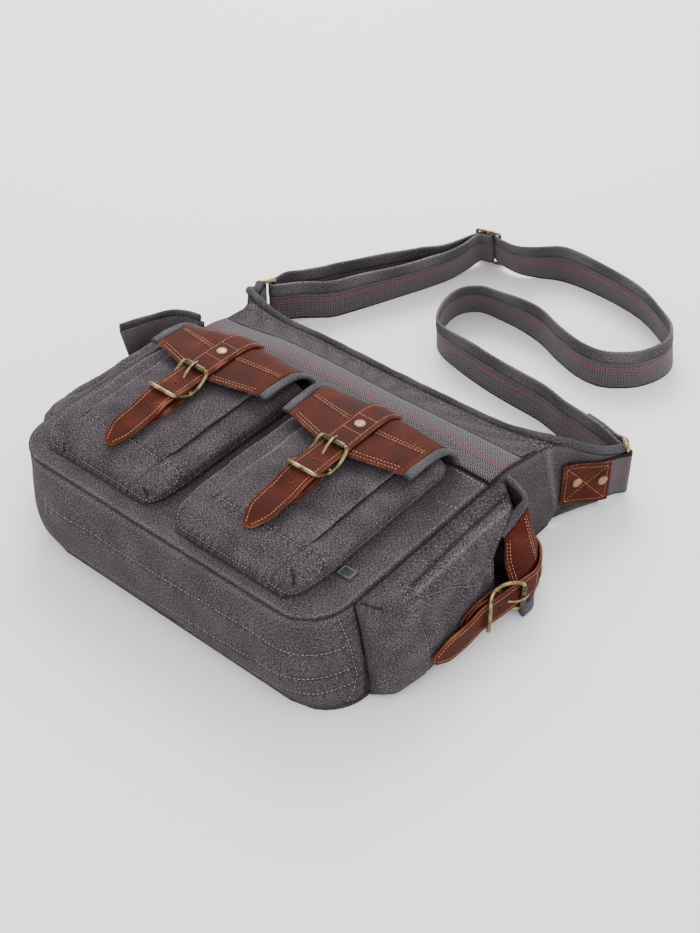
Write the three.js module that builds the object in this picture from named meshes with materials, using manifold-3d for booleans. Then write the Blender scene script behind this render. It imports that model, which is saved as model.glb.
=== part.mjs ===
// A canvas mail bag lying on its back, with its shoulder strap laid out behind it.
// Millimetres. X runs across the bag, Y from its base to its mouth, Z from the back panel to the front.
// The origin is the middle of the back panel's outer face, which lies on the ground.
import * as THREE from 'three';
import { mergeVertices } from 'three/addons/utils/BufferGeometryUtils.js';
import Module from 'manifold-3d';

const wasm = await Module();
wasm.setup();

// Driving dimensions
const gap = 0.3;
const layerGap = 0.6;
const body = {
  width: 346, height: 300, depth: 96, canvas: 1.8,
  frontCorner: 40, crown: 2, baseBulge: 10, sideBulge: 3,
  mouthDroop: 12, middleDroop: 5, leftSag: 12, wing: 6,
};
// How a side of the bag bulges from the back seam up to the front seam, as shares of the depth and the bulge
const bulgeRows = [
  { up: 0.00, out: 0.00 }, { up: 0.12, out: 0.70 }, { up: 0.32, out: 1.00 },
  { up: 0.64, out: 0.75 }, { up: 1.00, out: 0.00 },
];
const ear = { lengthRight: 72, lengthLeft: 56, flare: 40 };
const rim = { radius: 4 };
const webbing = { width: 45, thickness: 2, bandFromRim: 34 };
const ruffle = { width: 28, thickness: 1.5, wave: 1.2, count: 12 };
const wire = { ring: 4.5, buckle: 3.6, bar: 3.2, slider: 4, sides: 6 };
const ring = { length: 16, corner: 4, clearance: 1.2, fromTip: 6.5 };
const slider = { length: 26, corner: 3, across: -0.59, up: 1.276, angle: 14 };
const leather = 2.5;
const strap = { width: 25, thickness: 3, tipLength: 15, tailLength: 61 };
const billet = { thickness: 2, length: 46 };
const buckle = { length: 41, corner: 3.5, rollerRadius: 2.7, tongueWidth: 2.6 };
const rivet = { radius: 5, height: 1.4 };
const binding = { width: 8, thickness: 4.4 };
const patch = { thickness: 2, from: 0.20, to: 0.84, tilt: 10 };
const shoulder = { thickness: 2.6, reach: 246, sewnEnd: 40 };
const sideTag = { width: 12, length: 9, thickness: 1.2, aboveBase: 64 };
const pocketWall = 1.6;
const tongueThickness = 1.2;

// Front pockets: the centre across the bag, how far the bottom seam is above the base, and the size
const frontPockets = [
  { name: 'left', centre: -84, aboveBase: 17, width: 137, length: 182, puff: 22 },
  { name: 'right', centre: 73, aboveBase: 12, width: 137, length: 187, puff: 22 },
];
// Side pockets: which side, where the bottom seam is above the base, and the size
const sidePockets = [
  { name: 'right', side: 1, aboveBase: 44, width: 89.6, length: 134, puff: 43 },
  { name: 'left', side: -1, aboveBase: 44, width: 89.6, length: 134, puff: 43 },
];

// Section of a front pocket: share of the half width, share of the puff; the step is the box pleat
const frontSection = [
  { across: -1.00, out: 0.00 }, { across: -1.01, out: 0.58 }, { across: -0.94, out: 0.74 },
  { across: -0.71, out: 0.78 }, { across: -0.67, out: 0.99 }, { across: -0.30, out: 1.04 },
  { across: 0.30, out: 1.04 }, { across: 0.67, out: 0.99 }, { across: 0.71, out: 0.78 },
  { across: 0.94, out: 0.74 }, { across: 1.01, out: 0.58 }, { across: 1.00, out: 0.00 },
];
// Section of a side pocket that sags to the ground: from the front seam round to the back
const sideSection = [
  { across: -1.00, out: 0.00 }, { across: -0.88, out: 0.30 }, { across: -0.70, out: 0.60 },
  { across: -0.42, out: 0.67 }, { across: -0.14, out: 0.72 }, { across: -0.07, out: 0.90 },
  { across: 0.20, out: 0.97 }, { across: 0.52, out: 1.00 }, { across: 0.82, out: 0.95 },
  { across: 0.96, out: 0.80 }, { across: 1.00, out: 0.50 }, { across: 1.00, out: 0.00 },
];
// Profile of a pocket from its bottom seam to its mouth: shares of length, puff and half width
const frontProfile = [
  { up: 0.00, out: 0.02, wide: 0.80 }, { up: 0.035, out: 0.46, wide: 0.90 }, { up: 0.09, out: 0.74, wide: 0.97 },
  { up: 0.19, out: 0.88, wide: 1.00 }, { up: 0.45, out: 1.00, wide: 1.00 }, { up: 0.75, out: 1.02, wide: 1.00 },
  { up: 1.00, out: 1.06, wide: 1.00 },
];
const sideProfile = [
  { up: 0.00, out: 0.03, wide: 1.00 }, { up: 0.03, out: 0.40, wide: 1.00 }, { up: 0.09, out: 0.76, wide: 1.00 },
  { up: 0.20, out: 0.95, wide: 1.00 }, { up: 0.40, out: 1.00, wide: 1.00 }, { up: 0.75, out: 0.92, wide: 1.00 },
  { up: 1.00, out: 0.82, wide: 1.00 },
];

// Flaps: three lines from the seam to the lower edge, at one side edge, the middle and the other side edge,
// as shares of the half width, the drop and the rise. The first row of each line is sewn to what is under it.
const frontFlap = {
  halfWidth: 62, drop: 80, rise: 35, rivetDown: 0.58,
  near: [
    { across: -1, down: 0 }, { across: -1, down: 0.09, out: 0.57 }, { across: -1, down: 0.30, out: 0.89 },
    { across: -0.98, down: 0.575, out: 0.94 }, { across: -0.97, down: 0.825, out: 0.915 },
  ],
  middle: [
    { across: 0, down: 0 }, { across: 0, down: 0.075, out: 0.63 }, { across: 0, down: 0.275, out: 0.957 },
    { across: 0, down: 0.625, out: 1 }, { across: 0, down: 1, out: 0.986 },
  ],
  far: [
    { across: 1, down: 0 }, { across: 1, down: 0.09, out: 0.57 }, { across: 1, down: 0.30, out: 0.89 },
    { across: 0.98, down: 0.575, out: 0.94 }, { across: 0.97, down: 0.825, out: 0.915 },
  ],
};
const sideFlap = {
  halfWidth: 42, drop: 61, rise: 56, top: 101, rivetDown: 0.475,
  middle: [
    { across: 0.476, down: 0.05 }, { across: 0.476, down: 0.115, out: 0.48 },
    { across: 0.476, down: 0.295, out: 0.79 }, { across: 0.476, down: 0.607, out: 0.98 },
    { across: 0.476, down: 1, out: 0.955 },
  ],
  far: [
    { across: 0.893, down: 0.016 }, { across: 0.893, down: 0.13, out: 0.60 },
    { across: 0.893, down: 0.426, out: 0.89 }, { across: 0.893, down: 0.754, out: 1.03 },
    { across: 0.893, down: 1, out: 1.03 },
  ],
};
// The front edges of the two side flaps: the right one hangs slack and the left one stands up
const sideFlapEdges = {
  right: [
    { across: -1, down: 0.21 }, { across: -0.95, down: 0.26, out: 0.36 }, { across: -0.86, down: 0.36, out: 0.57 },
    { across: -0.62, down: 0.54, out: 0.59 }, { across: -0.36, down: 0.77, out: 0.535 },
  ],
  left: [
    { across: -0.95, down: 0.16 }, { across: -0.98, down: 0.23, out: 0.34 }, { across: -1, down: 0.36, out: 0.55 },
    { across: -1.05, down: 0.78, out: 0.74 }, { across: -1.1, down: 1.25, out: 0.86 },
  ],
};
// Rows that a flap is made of, and the rows at which its edge bindings and its strap begin
const flapRows = 8;
const binderRow = 1;
const strapRow = 2;

// Tail of a buckle strap past the buckle: share of its length, and height over the pocket's face
// as a share of the strap's thickness
const tail = [{ along: 0.30, over: 2.8 }, { along: 0.62, over: 2.3 }, { along: 1.00, over: 1.5 }];

// Ears, from the mouth to the tip: shares of the ear's length, of its flare, of the bag's depth for the top
// edge, and of the room that the rim binding takes under the low edge
const earRows = [
  { along: 0.00, outTop: 0.05, outLow: 0.38, top: 0.854, low: 1.00 },
  { along: 0.10, outTop: 0.14, outLow: 0.38, top: 0.844, low: 1.00 },
  { along: 0.28, outTop: 0.37, outLow: 0.37, top: 0.802, low: 1.00 },
  { along: 0.50, outTop: 0.56, outLow: 0.56, top: 0.688, low: 1.00 },
  { along: 0.76, outTop: 0.79, outLow: 0.79, top: 0.583, low: 0.25 },
  { along: 1.00, outTop: 1.00, outLow: 1.00, top: 0.542, low: 0.00 },
];
// The two sides: the ear's length, the way that its ring points over the ground in degrees from X, the back
// panel's corner radius, and how far the back panel spreads past the front one at the base and at the mouth
const ends = [
  { name: 'right', side: 1, length: ear.lengthRight, ringAngle: 136, corner: 44, spreadLow: 16, spreadHigh: 14 },
  { name: 'left', side: -1, length: ear.lengthLeft, ringAngle: 65, corner: 56, spreadLow: 0, spreadHigh: 14 },
];

// Route of the shoulder strap over the ground, from the left ring to the slider and on to the right ring:
// share of the distance between the bag's middle and its side, and of the strap's reach past the mouth
const backLayer = [
  { across: -1.235, up: 0.345 }, { across: -1.228, up: 0.40 }, { across: -1.185, up: 0.455 },
  { across: -1.15, up: 0.525 }, { across: -1.105, up: 0.60 }, { across: -1.015, up: 0.71 },
  { across: -0.925, up: 0.835 }, { across: -0.825, up: 0.955 }, { across: -0.735, up: 1.075 },
];
const frontLayer = [
  { across: -1.10, up: 0.375 }, { across: -0.99, up: 0.485 }, { across: -0.90, up: 0.63 },
  { across: -0.80, up: 0.81 }, { across: -0.71, up: 0.98 }, { across: -0.645, up: 1.15 },
];
const longRun = [
  { across: -0.475, up: 1.272 }, { across: -0.36, up: 1.275 }, { across: -0.13, up: 1.358 },
  { across: 0.15, up: 1.37 }, { across: 0.48, up: 1.33 }, { across: 0.68, up: 1.255 },
  { across: 0.84, up: 1.165 }, { across: 0.885, up: 1.06 }, { across: 0.83, up: 0.93 },
  { across: 0.745, up: 0.862 }, { across: 0.65, up: 0.82 }, { across: 0.52, up: 0.815 },
  { across: 0.34, up: 0.853 }, { across: 0.145, up: 0.912 }, { across: -0.02, up: 0.937 },
  { across: -0.185, up: 0.943 }, { across: -0.32, up: 0.935 }, { across: -0.40, up: 0.87 },
  { across: -0.40, up: 0.757 }, { across: -0.315, up: 0.625 }, { across: -0.225, up: 0.576 },
  { across: -0.05, up: 0.537 }, { across: 0.115, up: 0.512 }, { across: 0.28, up: 0.496 },
  { across: 0.42, up: 0.488 }, { across: 0.57, up: 0.478 },
];
// The last of it follows the right ring: from the ring's far wire, in widths of the webbing
const ringRun = [
  { across: -1.714, up: 0.467 }, { across: -1.291, up: 0.385 }, { across: -0.753, up: 0.199 },
];

// Where the standing strap leans: the same shares, how far from there the lean reaches as a share of the strap's
// reach, and the lean itself for each unit of height
const leans = [
  { across: -0.59, up: 1.276, reach: 0.37, x: 0.15, y: -0.40 },
  { across: 0.50, up: 1.25, reach: 0.61, x: -0.10, y: -0.16 },
  { across: -0.40, up: 0.80, reach: 0.45, x: 0.20, y: -0.36 },
];

const halfWidth = body.width / 2;
const baseY = -body.height / 2;
const rimY = body.height / 2;
const bandTop = rimY - webbing.bandFromRim;
const bandLow = bandTop - webbing.width;
const wireLow = wire.ring / 2 + gap;
const tabLow = wireLow + wire.ring / 2 + ring.clearance;
const ringHeight = webbing.width + 2 * ring.clearance + wire.ring;
const rimRoom = 2 * rim.radius + 5 * gap;

const { lerp, smoothstep, degToRad } = THREE.MathUtils;
const V = (x, y, z) => new THREE.Vector3(x, y, z);
const V2 = (x, y) => new THREE.Vector2(x, y);

const finishes = {
  canvas: { color: 0x5d595e, roughness: 0.95, metalness: 0 },
  binding: { color: 0x66636a, roughness: 0.95, metalness: 0 },
  webbing: { color: 0x45423f, roughness: 0.9, metalness: 0 },
  leather: { color: 0x6a3d31, roughness: 0.6, metalness: 0 },
  brass: { color: 0x8d8058, roughness: 0.4, metalness: 1 },
  copper: { color: 0xa98a78, roughness: 0.4, metalness: 1 },
};
function named(name, geometry, finish) {
  geometry.computeVertexNormals();
  const mesh = new THREE.Mesh(geometry, new THREE.MeshStandardMaterial(finishes[finish]));
  mesh.name = name;
  return mesh;
}

// Geometry
function geometryFrom(points, index) {
  const geometry = new THREE.BufferGeometry();
  geometry.setAttribute('position', new THREE.Float32BufferAttribute(points.flatMap((p) => p.toArray()), 3));
  geometry.setIndex(index);
  return geometry;
}

// A closed sheet: a grid of points on its middle surface, thickened both ways along the surface normal
function sheet(grid, thickness) {
  const rows = grid.length;
  const columns = grid[0].length;
  const at = (i, j) => grid[Math.min(Math.max(j, 0), rows - 1)][Math.min(Math.max(i, 0), columns - 1)];
  const faceOf = (half) => grid.flatMap((row, j) => row.map((point, i) => {
    const across = at(i + 1, j).clone().sub(at(i - 1, j));
    const along = at(i, j + 1).clone().sub(at(i, j - 1));
    return point.clone().addScaledVector(across.cross(along).normalize(), half);
  }));
  const points = [...faceOf(thickness / 2), ...faceOf(-thickness / 2)];
  const under = rows * columns;
  const id = (i, j) => j * columns + i;
  const index = [];
  for (let j = 0; j + 1 < rows; j += 1) {
    for (let i = 0; i + 1 < columns; i += 1) {
      const [a, b, c, d] = [id(i, j), id(i + 1, j), id(i + 1, j + 1), id(i, j + 1)];
      index.push(a, b, c, a, c, d, a + under, c + under, b + under, a + under, d + under, c + under);
    }
  }
  const border = [];
  for (let i = 0; i < columns - 1; i += 1) border.push(id(i, 0));
  for (let j = 0; j < rows - 1; j += 1) border.push(id(columns - 1, j));
  for (let i = columns - 1; i > 0; i -= 1) border.push(id(i, rows - 1));
  for (let j = rows - 1; j > 0; j -= 1) border.push(id(0, j));
  border.forEach((p, k) => {
    const q = border[(k + 1) % border.length];
    index.push(p, p + under, q + under, p, q + under, q);
  });
  return geometryFrom(points, index);
}

// A solid whose section is carried along a row of places; each place has a point and the section's two axes,
// and the first axis crossed with the second points the way that the row runs
function swept(section, places, closed = false) {
  const size = section.length;
  const points = places.flatMap(({ point, a, b }) => section.map((corner) => (
    point.clone().addScaledVector(a, corner.x).addScaledVector(b, corner.y))));
  const index = [];
  const steps = closed ? places.length : places.length - 1;
  for (let j = 0; j < steps; j += 1) {
    const next = (j + 1) % places.length;
    for (let k = 0; k < size; k += 1) {
      const l = (k + 1) % size;
      index.push(j * size + k, j * size + l, next * size + l, j * size + k, next * size + l, next * size + k);
    }
  }
  if (!closed) {
    const last = (places.length - 1) * size;
    THREE.ShapeUtils.triangulateShape(section, []).forEach(([p, q, r]) => {
      index.push(r, q, p, last + p, last + q, last + r);
    });
  }
  return geometryFrom(points, index);
}

// Places along a row of points; side gives the section's first axis from the point's number and tangent
function placesAlong(points, side, closed = false) {
  const count = points.length;
  const pick = (k) => (closed ? points[(k + count) % count] : points[Math.min(Math.max(k, 0), count - 1)]);
  return points.map((point, k) => {
    const tangent = pick(k + 1).clone().sub(pick(k - 1)).normalize();
    const a = side(k, tangent);
    a.addScaledVector(tangent, -a.dot(tangent)).normalize();
    return { point, a, b: tangent.clone().cross(a) };
  });
}
const uprightSide = (k, tangent) => V(-tangent.y, tangent.x, 0);
const roundSection = (radius, sides = wire.sides) => Array.from({ length: sides }, (_, k) => (
  V2(radius * Math.cos((2 * Math.PI * k) / sides), radius * Math.sin((2 * Math.PI * k) / sides))));
const flatSection = (low, high, from, to) => [V2(low, from), V2(high, from), V2(high, to), V2(low, to)];

function solidOf(geometry) {
  const bare = geometry.clone();
  bare.deleteAttribute('normal');
  bare.deleteAttribute('uv');
  const merged = mergeVertices(bare, 1e-4);
  return new wasm.Manifold(new wasm.Mesh({
    numProp: 3,
    vertProperties: Float32Array.from(merged.attributes.position.array),
    triVerts: Uint32Array.from(merged.index.array),
  }));
}
function geometryOf(solid) {
  const { vertProperties, triVerts } = solid.getMesh();
  const geometry = new THREE.BufferGeometry();
  geometry.setAttribute('position', new THREE.BufferAttribute(new Float32Array(vertProperties), 3));
  geometry.setIndex([...triVerts]);
  return geometry;
}
function cut(geometry, ...tools) {
  return geometryOf(tools.reduce((solid, tool) => solid.subtract(solidOf(tool)), solidOf(geometry)));
}
function fused(first, ...others) {
  return geometryOf(others.reduce((solid, other) => solid.add(solidOf(other)), solidOf(first)));
}

// A rectangle with round corners in the XY plane, as points that run anticlockwise
function roundedRectangle(halfX, halfY, radius, steps = 2) {
  const corners = [[1, 1, 0], [-1, 1, 90], [-1, -1, 180], [1, -1, 270]];
  return corners.flatMap(([signX, signY, start]) => Array.from({ length: steps + 1 }, (_, k) => {
    const angle = degToRad(start + (90 * k) / steps);
    return V(signX * (halfX - radius) + radius * Math.cos(angle), signY * (halfY - radius) + radius * Math.sin(angle), 0);
  }));
}
function wireLoop(outline, radius) {
  return swept(roundSection(radius), placesAlong(outline, (k, tangent) => V(tangent.y, -tangent.x, 0), true), true);
}

// The bag's outlines and panels
function frontHeight(x, y) {
  const inward = Math.max(0, 1 - (x / halfWidth) ** 2);
  const droop = (body.mouthDroop + body.middleDroop * inward) * smoothstep(y, rimY - 60, rimY);
  const leftward = smoothstep(-x, halfWidth * 0.4, halfWidth);
  const sag = body.leftSag * leftward * smoothstep(y, 0, rimY - 60) * (1 - 0.5 * smoothstep(y, rimY - 40, rimY));
  const crown = body.crown * inward * Math.max(0, 1 - (y / rimY) ** 2);
  return body.depth - droop - sag + crown;
}
const underFront = (x, y) => frontHeight(x, Math.min(y, rimY)) - body.canvas - layerGap;
function cornerInset(y, radius) {
  const rise = Math.max(baseY + radius - y, 0);
  return radius - Math.sqrt(Math.max(radius ** 2 - rise ** 2, 0));
}
const spreadAt = (y, end) => lerp(end.spreadLow, end.spreadHigh, smoothstep(y, -40, rimY - 30));
const backHalfAt = (y, end) => halfWidth + spreadAt(y, end) - cornerInset(y, end.corner);
const mouthAt = (x) => rimY + body.wing * smoothstep(Math.abs(x), halfWidth * 0.8, halfWidth);

// How far the side of the bag stands out from its front seam, at a height over the ground
function bulgeAt(share) {
  const k = Math.max(bulgeRows.findIndex((row) => row.up >= share), 1);
  const between = (share - bulgeRows[k - 1].up) / (bulgeRows[k].up - bulgeRows[k - 1].up);
  return lerp(bulgeRows[k - 1].out, bulgeRows[k].out, between);
}
function sideOut(y, z, end) {
  const share = Math.min(Math.max(z / body.depth, 0), 1);
  return lerp(backHalfAt(y, end) - halfWidth, -cornerInset(y, body.frontCorner), share)
    + body.sideBulge * bulgeAt(share);
}

const evenly = (count) => Array.from({ length: count + 1 }, (_, k) => k / count);
const bandRows = evenly(2).map((share) => lerp(bandLow, bandTop, share));
const ruffleRows = evenly(2).map((share) => bandTop + layerGap + share * ruffle.width);
const panelRows = [
  ...[0, 0.008, 0.03, 0.075, 0.14, 0.25, 0.4, 0.55].map((share) => baseY + share * body.height),
  ...bandRows, ...ruffleRows.slice(1), rimY,
];
const panelColumns = evenly(16).map((share) => 2 * share - 1);

function frontPanel() {
  const grid = panelRows.map((row) => panelColumns.map((column) => {
    const x = column * (halfWidth - cornerInset(row, body.frontCorner));
    return V(x, row === rimY ? mouthAt(x) : row, frontHeight(x, row) - body.canvas / 2);
  }));
  return sheet(grid, body.canvas);
}
function backPanel() {
  const rows = panelRows.filter((row, k) => k < 6 || k % 2 === 1);
  const [right, left] = ends;
  const grid = rows.map((row) => [-backHalfAt(row, left), 0, backHalfAt(row, right)].map((x) => (
    V(x, row, body.canvas / 2))));
  return sheet(grid, body.canvas);
}

// The edge of one ear: its plan position at a share of the way to the tip, on the middle of the canvas
function earEdge({ side, length }, row) {
  const out = (share) => side * (halfWidth + ear.flare * share - body.canvas / 2);
  const y = rimY + length * row.along;
  const low = row.along === 0 ? body.canvas + gap : lerp(tabLow, rimRoom, row.low);
  const top = Math.min(row.top * body.depth, underFront(side * halfWidth, rimY));
  return { low: V(out(row.outLow), y, low), top: V(out(row.outTop), y, top), out: V(side, 0, 0), bulge: 0 };
}

// One half of the gusset, from the ear's tip down the side and round the corner to the middle of the base
function gussetRows(end) {
  const half = body.canvas / 2;
  const seat = body.canvas + 3 * gap;
  const x = end.side * halfWidth;
  const rows = [...earRows].reverse().map((row) => earEdge(end, row));
  for (const y of panelRows.filter((row) => row < rimY && row > baseY + end.corner).reverse()) {
    rows.push({
      low: V(end.side * (backHalfAt(y, end) - half), y, seat),
      top: V(x - end.side * half, y, underFront(x, y)),
      out: V(end.side, 0, 0),
      bulge: body.sideBulge,
    });
  }
  for (const share of evenly(5)) {
    const angle = (share * Math.PI) / 2;
    const around = (radius, spread) => V(
      end.side * (halfWidth + spread - radius + (radius - half) * Math.cos(angle)),
      baseY + radius - (radius - half) * Math.sin(angle), 0);
    const top = around(body.frontCorner, 0);
    rows.push({
      low: around(end.corner, end.spreadLow).setZ(seat),
      top: top.setZ(underFront(top.x, top.y)),
      out: V(end.side * Math.cos(angle), -Math.sin(angle), 0),
      bulge: lerp(body.sideBulge, body.baseBulge, share),
    });
  }
  for (const share of [0.66, 0.33, 0]) {
    const low = end.side * share * (halfWidth + end.spreadLow - end.corner);
    const top = end.side * share * (halfWidth - body.frontCorner);
    rows.push({
      low: V(low, baseY + half, seat), top: V(top, baseY + half, underFront(top, baseY)),
      out: V(0, -1, 0), bulge: body.baseBulge,
    });
  }
  return rows;
}
function gusset() {
  const [right, left] = ends.map(gussetRows);
  const rows = [...right, ...left.reverse().slice(1)];
  const grid = bulgeRows.map((level) => rows.map(({ low, top, out, bulge }) => (
    low.clone().lerp(top, level.up).addScaledVector(out, bulge * level.out))));
  return sheet(grid, body.canvas);
}

function webbingBand() {
  const grid = bandRows.map((y) => panelColumns.map((column) => {
    const x = column * (halfWidth - gap);
    return V(x, y, frontHeight(x, y) + layerGap + webbing.thickness / 2);
  }));
  return sheet(grid, webbing.thickness);
}
function ruffleStrip() {
  const grid = ruffleRows.map((y, j) => evenly(2 * ruffle.count).map((column, k) => {
    const x = (2 * column - 1) * (halfWidth - ruffle.wave);
    const wave = ruffle.wave * (k % 2) * (j === 1 ? 1 : 0.5);
    return V(x, y, frontHeight(x, y) + layerGap + ruffle.thickness / 2 + wave);
  }));
  return sheet(grid, ruffle.thickness);
}

// The rim bindings run from one ear to the other, just past the edges that they cover
function frontRimBinding() {
  const over = rim.radius + gap;
  const half = (end) => {
    const x = end.side * halfWidth;
    const z = frontHeight(x, rimY);
    const tops = [...earRows].reverse().map((row) => earEdge(end, row).top);
    const ears = placesAlong(tops, () => V(0, 0, 1))
      .map(({ point, a }) => point.clone().addScaledVector(a, rim.radius + 3 * gap))
      .filter((point) => point.y > rimY + 0.2 * end.length);
    return [...ears,
      V(x + end.side * 4, rimY + 13.5, z + 1.6), V(x - end.side * 3, rimY + 11, z + 1.8),
      V(x - end.side * 12, rimY + 9, z + 0.5)];
  };
  const middle = [0.75, 0.4, 0, -0.4, -0.75].map((share) => (
    V(share * halfWidth, rimY + over, frontHeight(share * halfWidth, rimY) - body.canvas / 2)));
  const [right, left] = ends.map(half);
  const route = new THREE.CatmullRomCurve3([...right, ...middle, ...left.reverse()], false, 'centripetal');
  return swept(roundSection(rim.radius), placesAlong(route.getPoints(34), () => V(0, 0, 1)));
}
function backRimBinding() {
  const z = rim.radius + gap;
  const half = (end) => {
    const ears = [...earRows].reverse().filter((row) => row.along > 0.2 && row.along < 0.6)
      .map((row) => earEdge(end, row).low.setZ(z));
    const corner = backHalfAt(rimY, end);
    return [...ears, V(end.side * (corner - 5), rimY + 8.4, z), V(end.side * (corner - 16), rimY + 4.6, z)];
  };
  const middle = [0.8, 0, -0.8].map((share) => V(share * halfWidth, rimY + rim.radius - 0.4, z));
  const [right, left] = ends.map(half);
  const route = new THREE.CatmullRomCurve3([...right, ...middle, ...left.reverse()], false, 'centripetal');
  return swept(roundSection(rim.radius), placesAlong(route.getPoints(20), () => V(0, 0, 1)));
}

// A pocket: its section carried along its profile, following the panel that carries it
function pocketSheet(row, section, profile, mirror, carrier, follow) {
  const grid = profile.map((level) => section.map((corner) => {
    const across = corner.across * (row.width / 2) * level.wide;
    const up = baseY + row.aboveBase + row.length * level.up;
    const share = corner.out * level.out;
    const rest = carrier(across, up) * lerp(1, follow, share);
    return V(mirror * across, up, rest + layerGap + pocketWall / 2 + row.puff * share);
  }));
  return sheet(grid, pocketWall);
}
// The height of a pocket's outer face on the line of its strap
function pocketFace(row, section, profile, line, carrier, follow) {
  const outAt = section.reduce((best, corner) => (
    Math.abs(corner.across - line / (row.width / 2)) < Math.abs(best.across - line / (row.width / 2)) ? corner : best));
  return (up) => {
    const at = (up - baseY - row.aboveBase) / row.length;
    const k = Math.max(profile.findIndex((level) => level.up >= at), 1);
    const share = Math.min(Math.max((at - profile[k - 1].up) / (profile[k].up - profile[k - 1].up), 0), 1);
    const out = outAt.out * lerp(profile[k - 1].out, profile[k].out, share);
    return carrier(line, up) * lerp(1, follow, out) + layerGap + pocketWall + row.puff * out;
  };
}

// A flap's leather, its two edge bindings and the line down its middle, in the pocket's own axes
function flapParts(form, near, top, mirror, carrier, follow) {
  const lineOf = (rows) => new THREE.CatmullRomCurve3(rows.map(({ across, down, out }) => {
    const x = across * form.halfWidth;
    const y = top - down * form.drop;
    const seam = layerGap + gap + leather / 2;
    return V(x, y, out === undefined ? carrier(x, y) + seam : out * form.rise + follow * carrier(x, y));
  }), false, 'centripetal');
  const lines = [near, form.middle, form.far].map((rows) => lineOf(rows).getSpacedPoints(flapRows));
  const beside = strap.width / 2 + layerGap;
  const grid = lines[1].map((centre, k) => {
    const [edge, other] = [lines[0][k], lines[2][k]];
    const inner = centre.clone().add(V(-beside, 0, 0));
    const outer = centre.clone().add(V(beside, 0, 0));
    return [edge, edge.clone().lerp(inner, 0.5), inner, centre, outer, outer.clone().lerp(other, 0.5), other]
      .map((point) => point.clone().setX(mirror * point.x));
  });
  const bindings = [0, grid[0].length - 1].map((column) => {
    const inward = column === 0 ? 1 : -1;
    const away = grid.map((row) => row[column].clone().sub(row[column + inward]).normalize());
    const places = placesAlong(grid.map((row) => row[column]), (k) => away[k].clone()).slice(binderRow);
    places.forEach((place) => {
      place.point = place.point.clone().addScaledVector(place.a, binding.width / 2 + 3 * gap);
    });
    const [w, t] = [binding.width / 2, binding.thickness / 2];
    const section = [V2(-w, -t * 0.8), V2(0, -t), V2(w, -t / 2), V2(w, t / 2), V2(0, t), V2(-w, t * 0.8)];
    return swept(section, places);
  });
  return { leather: sheet(grid, leather), bindings, middle: lines[1] };
}

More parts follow.
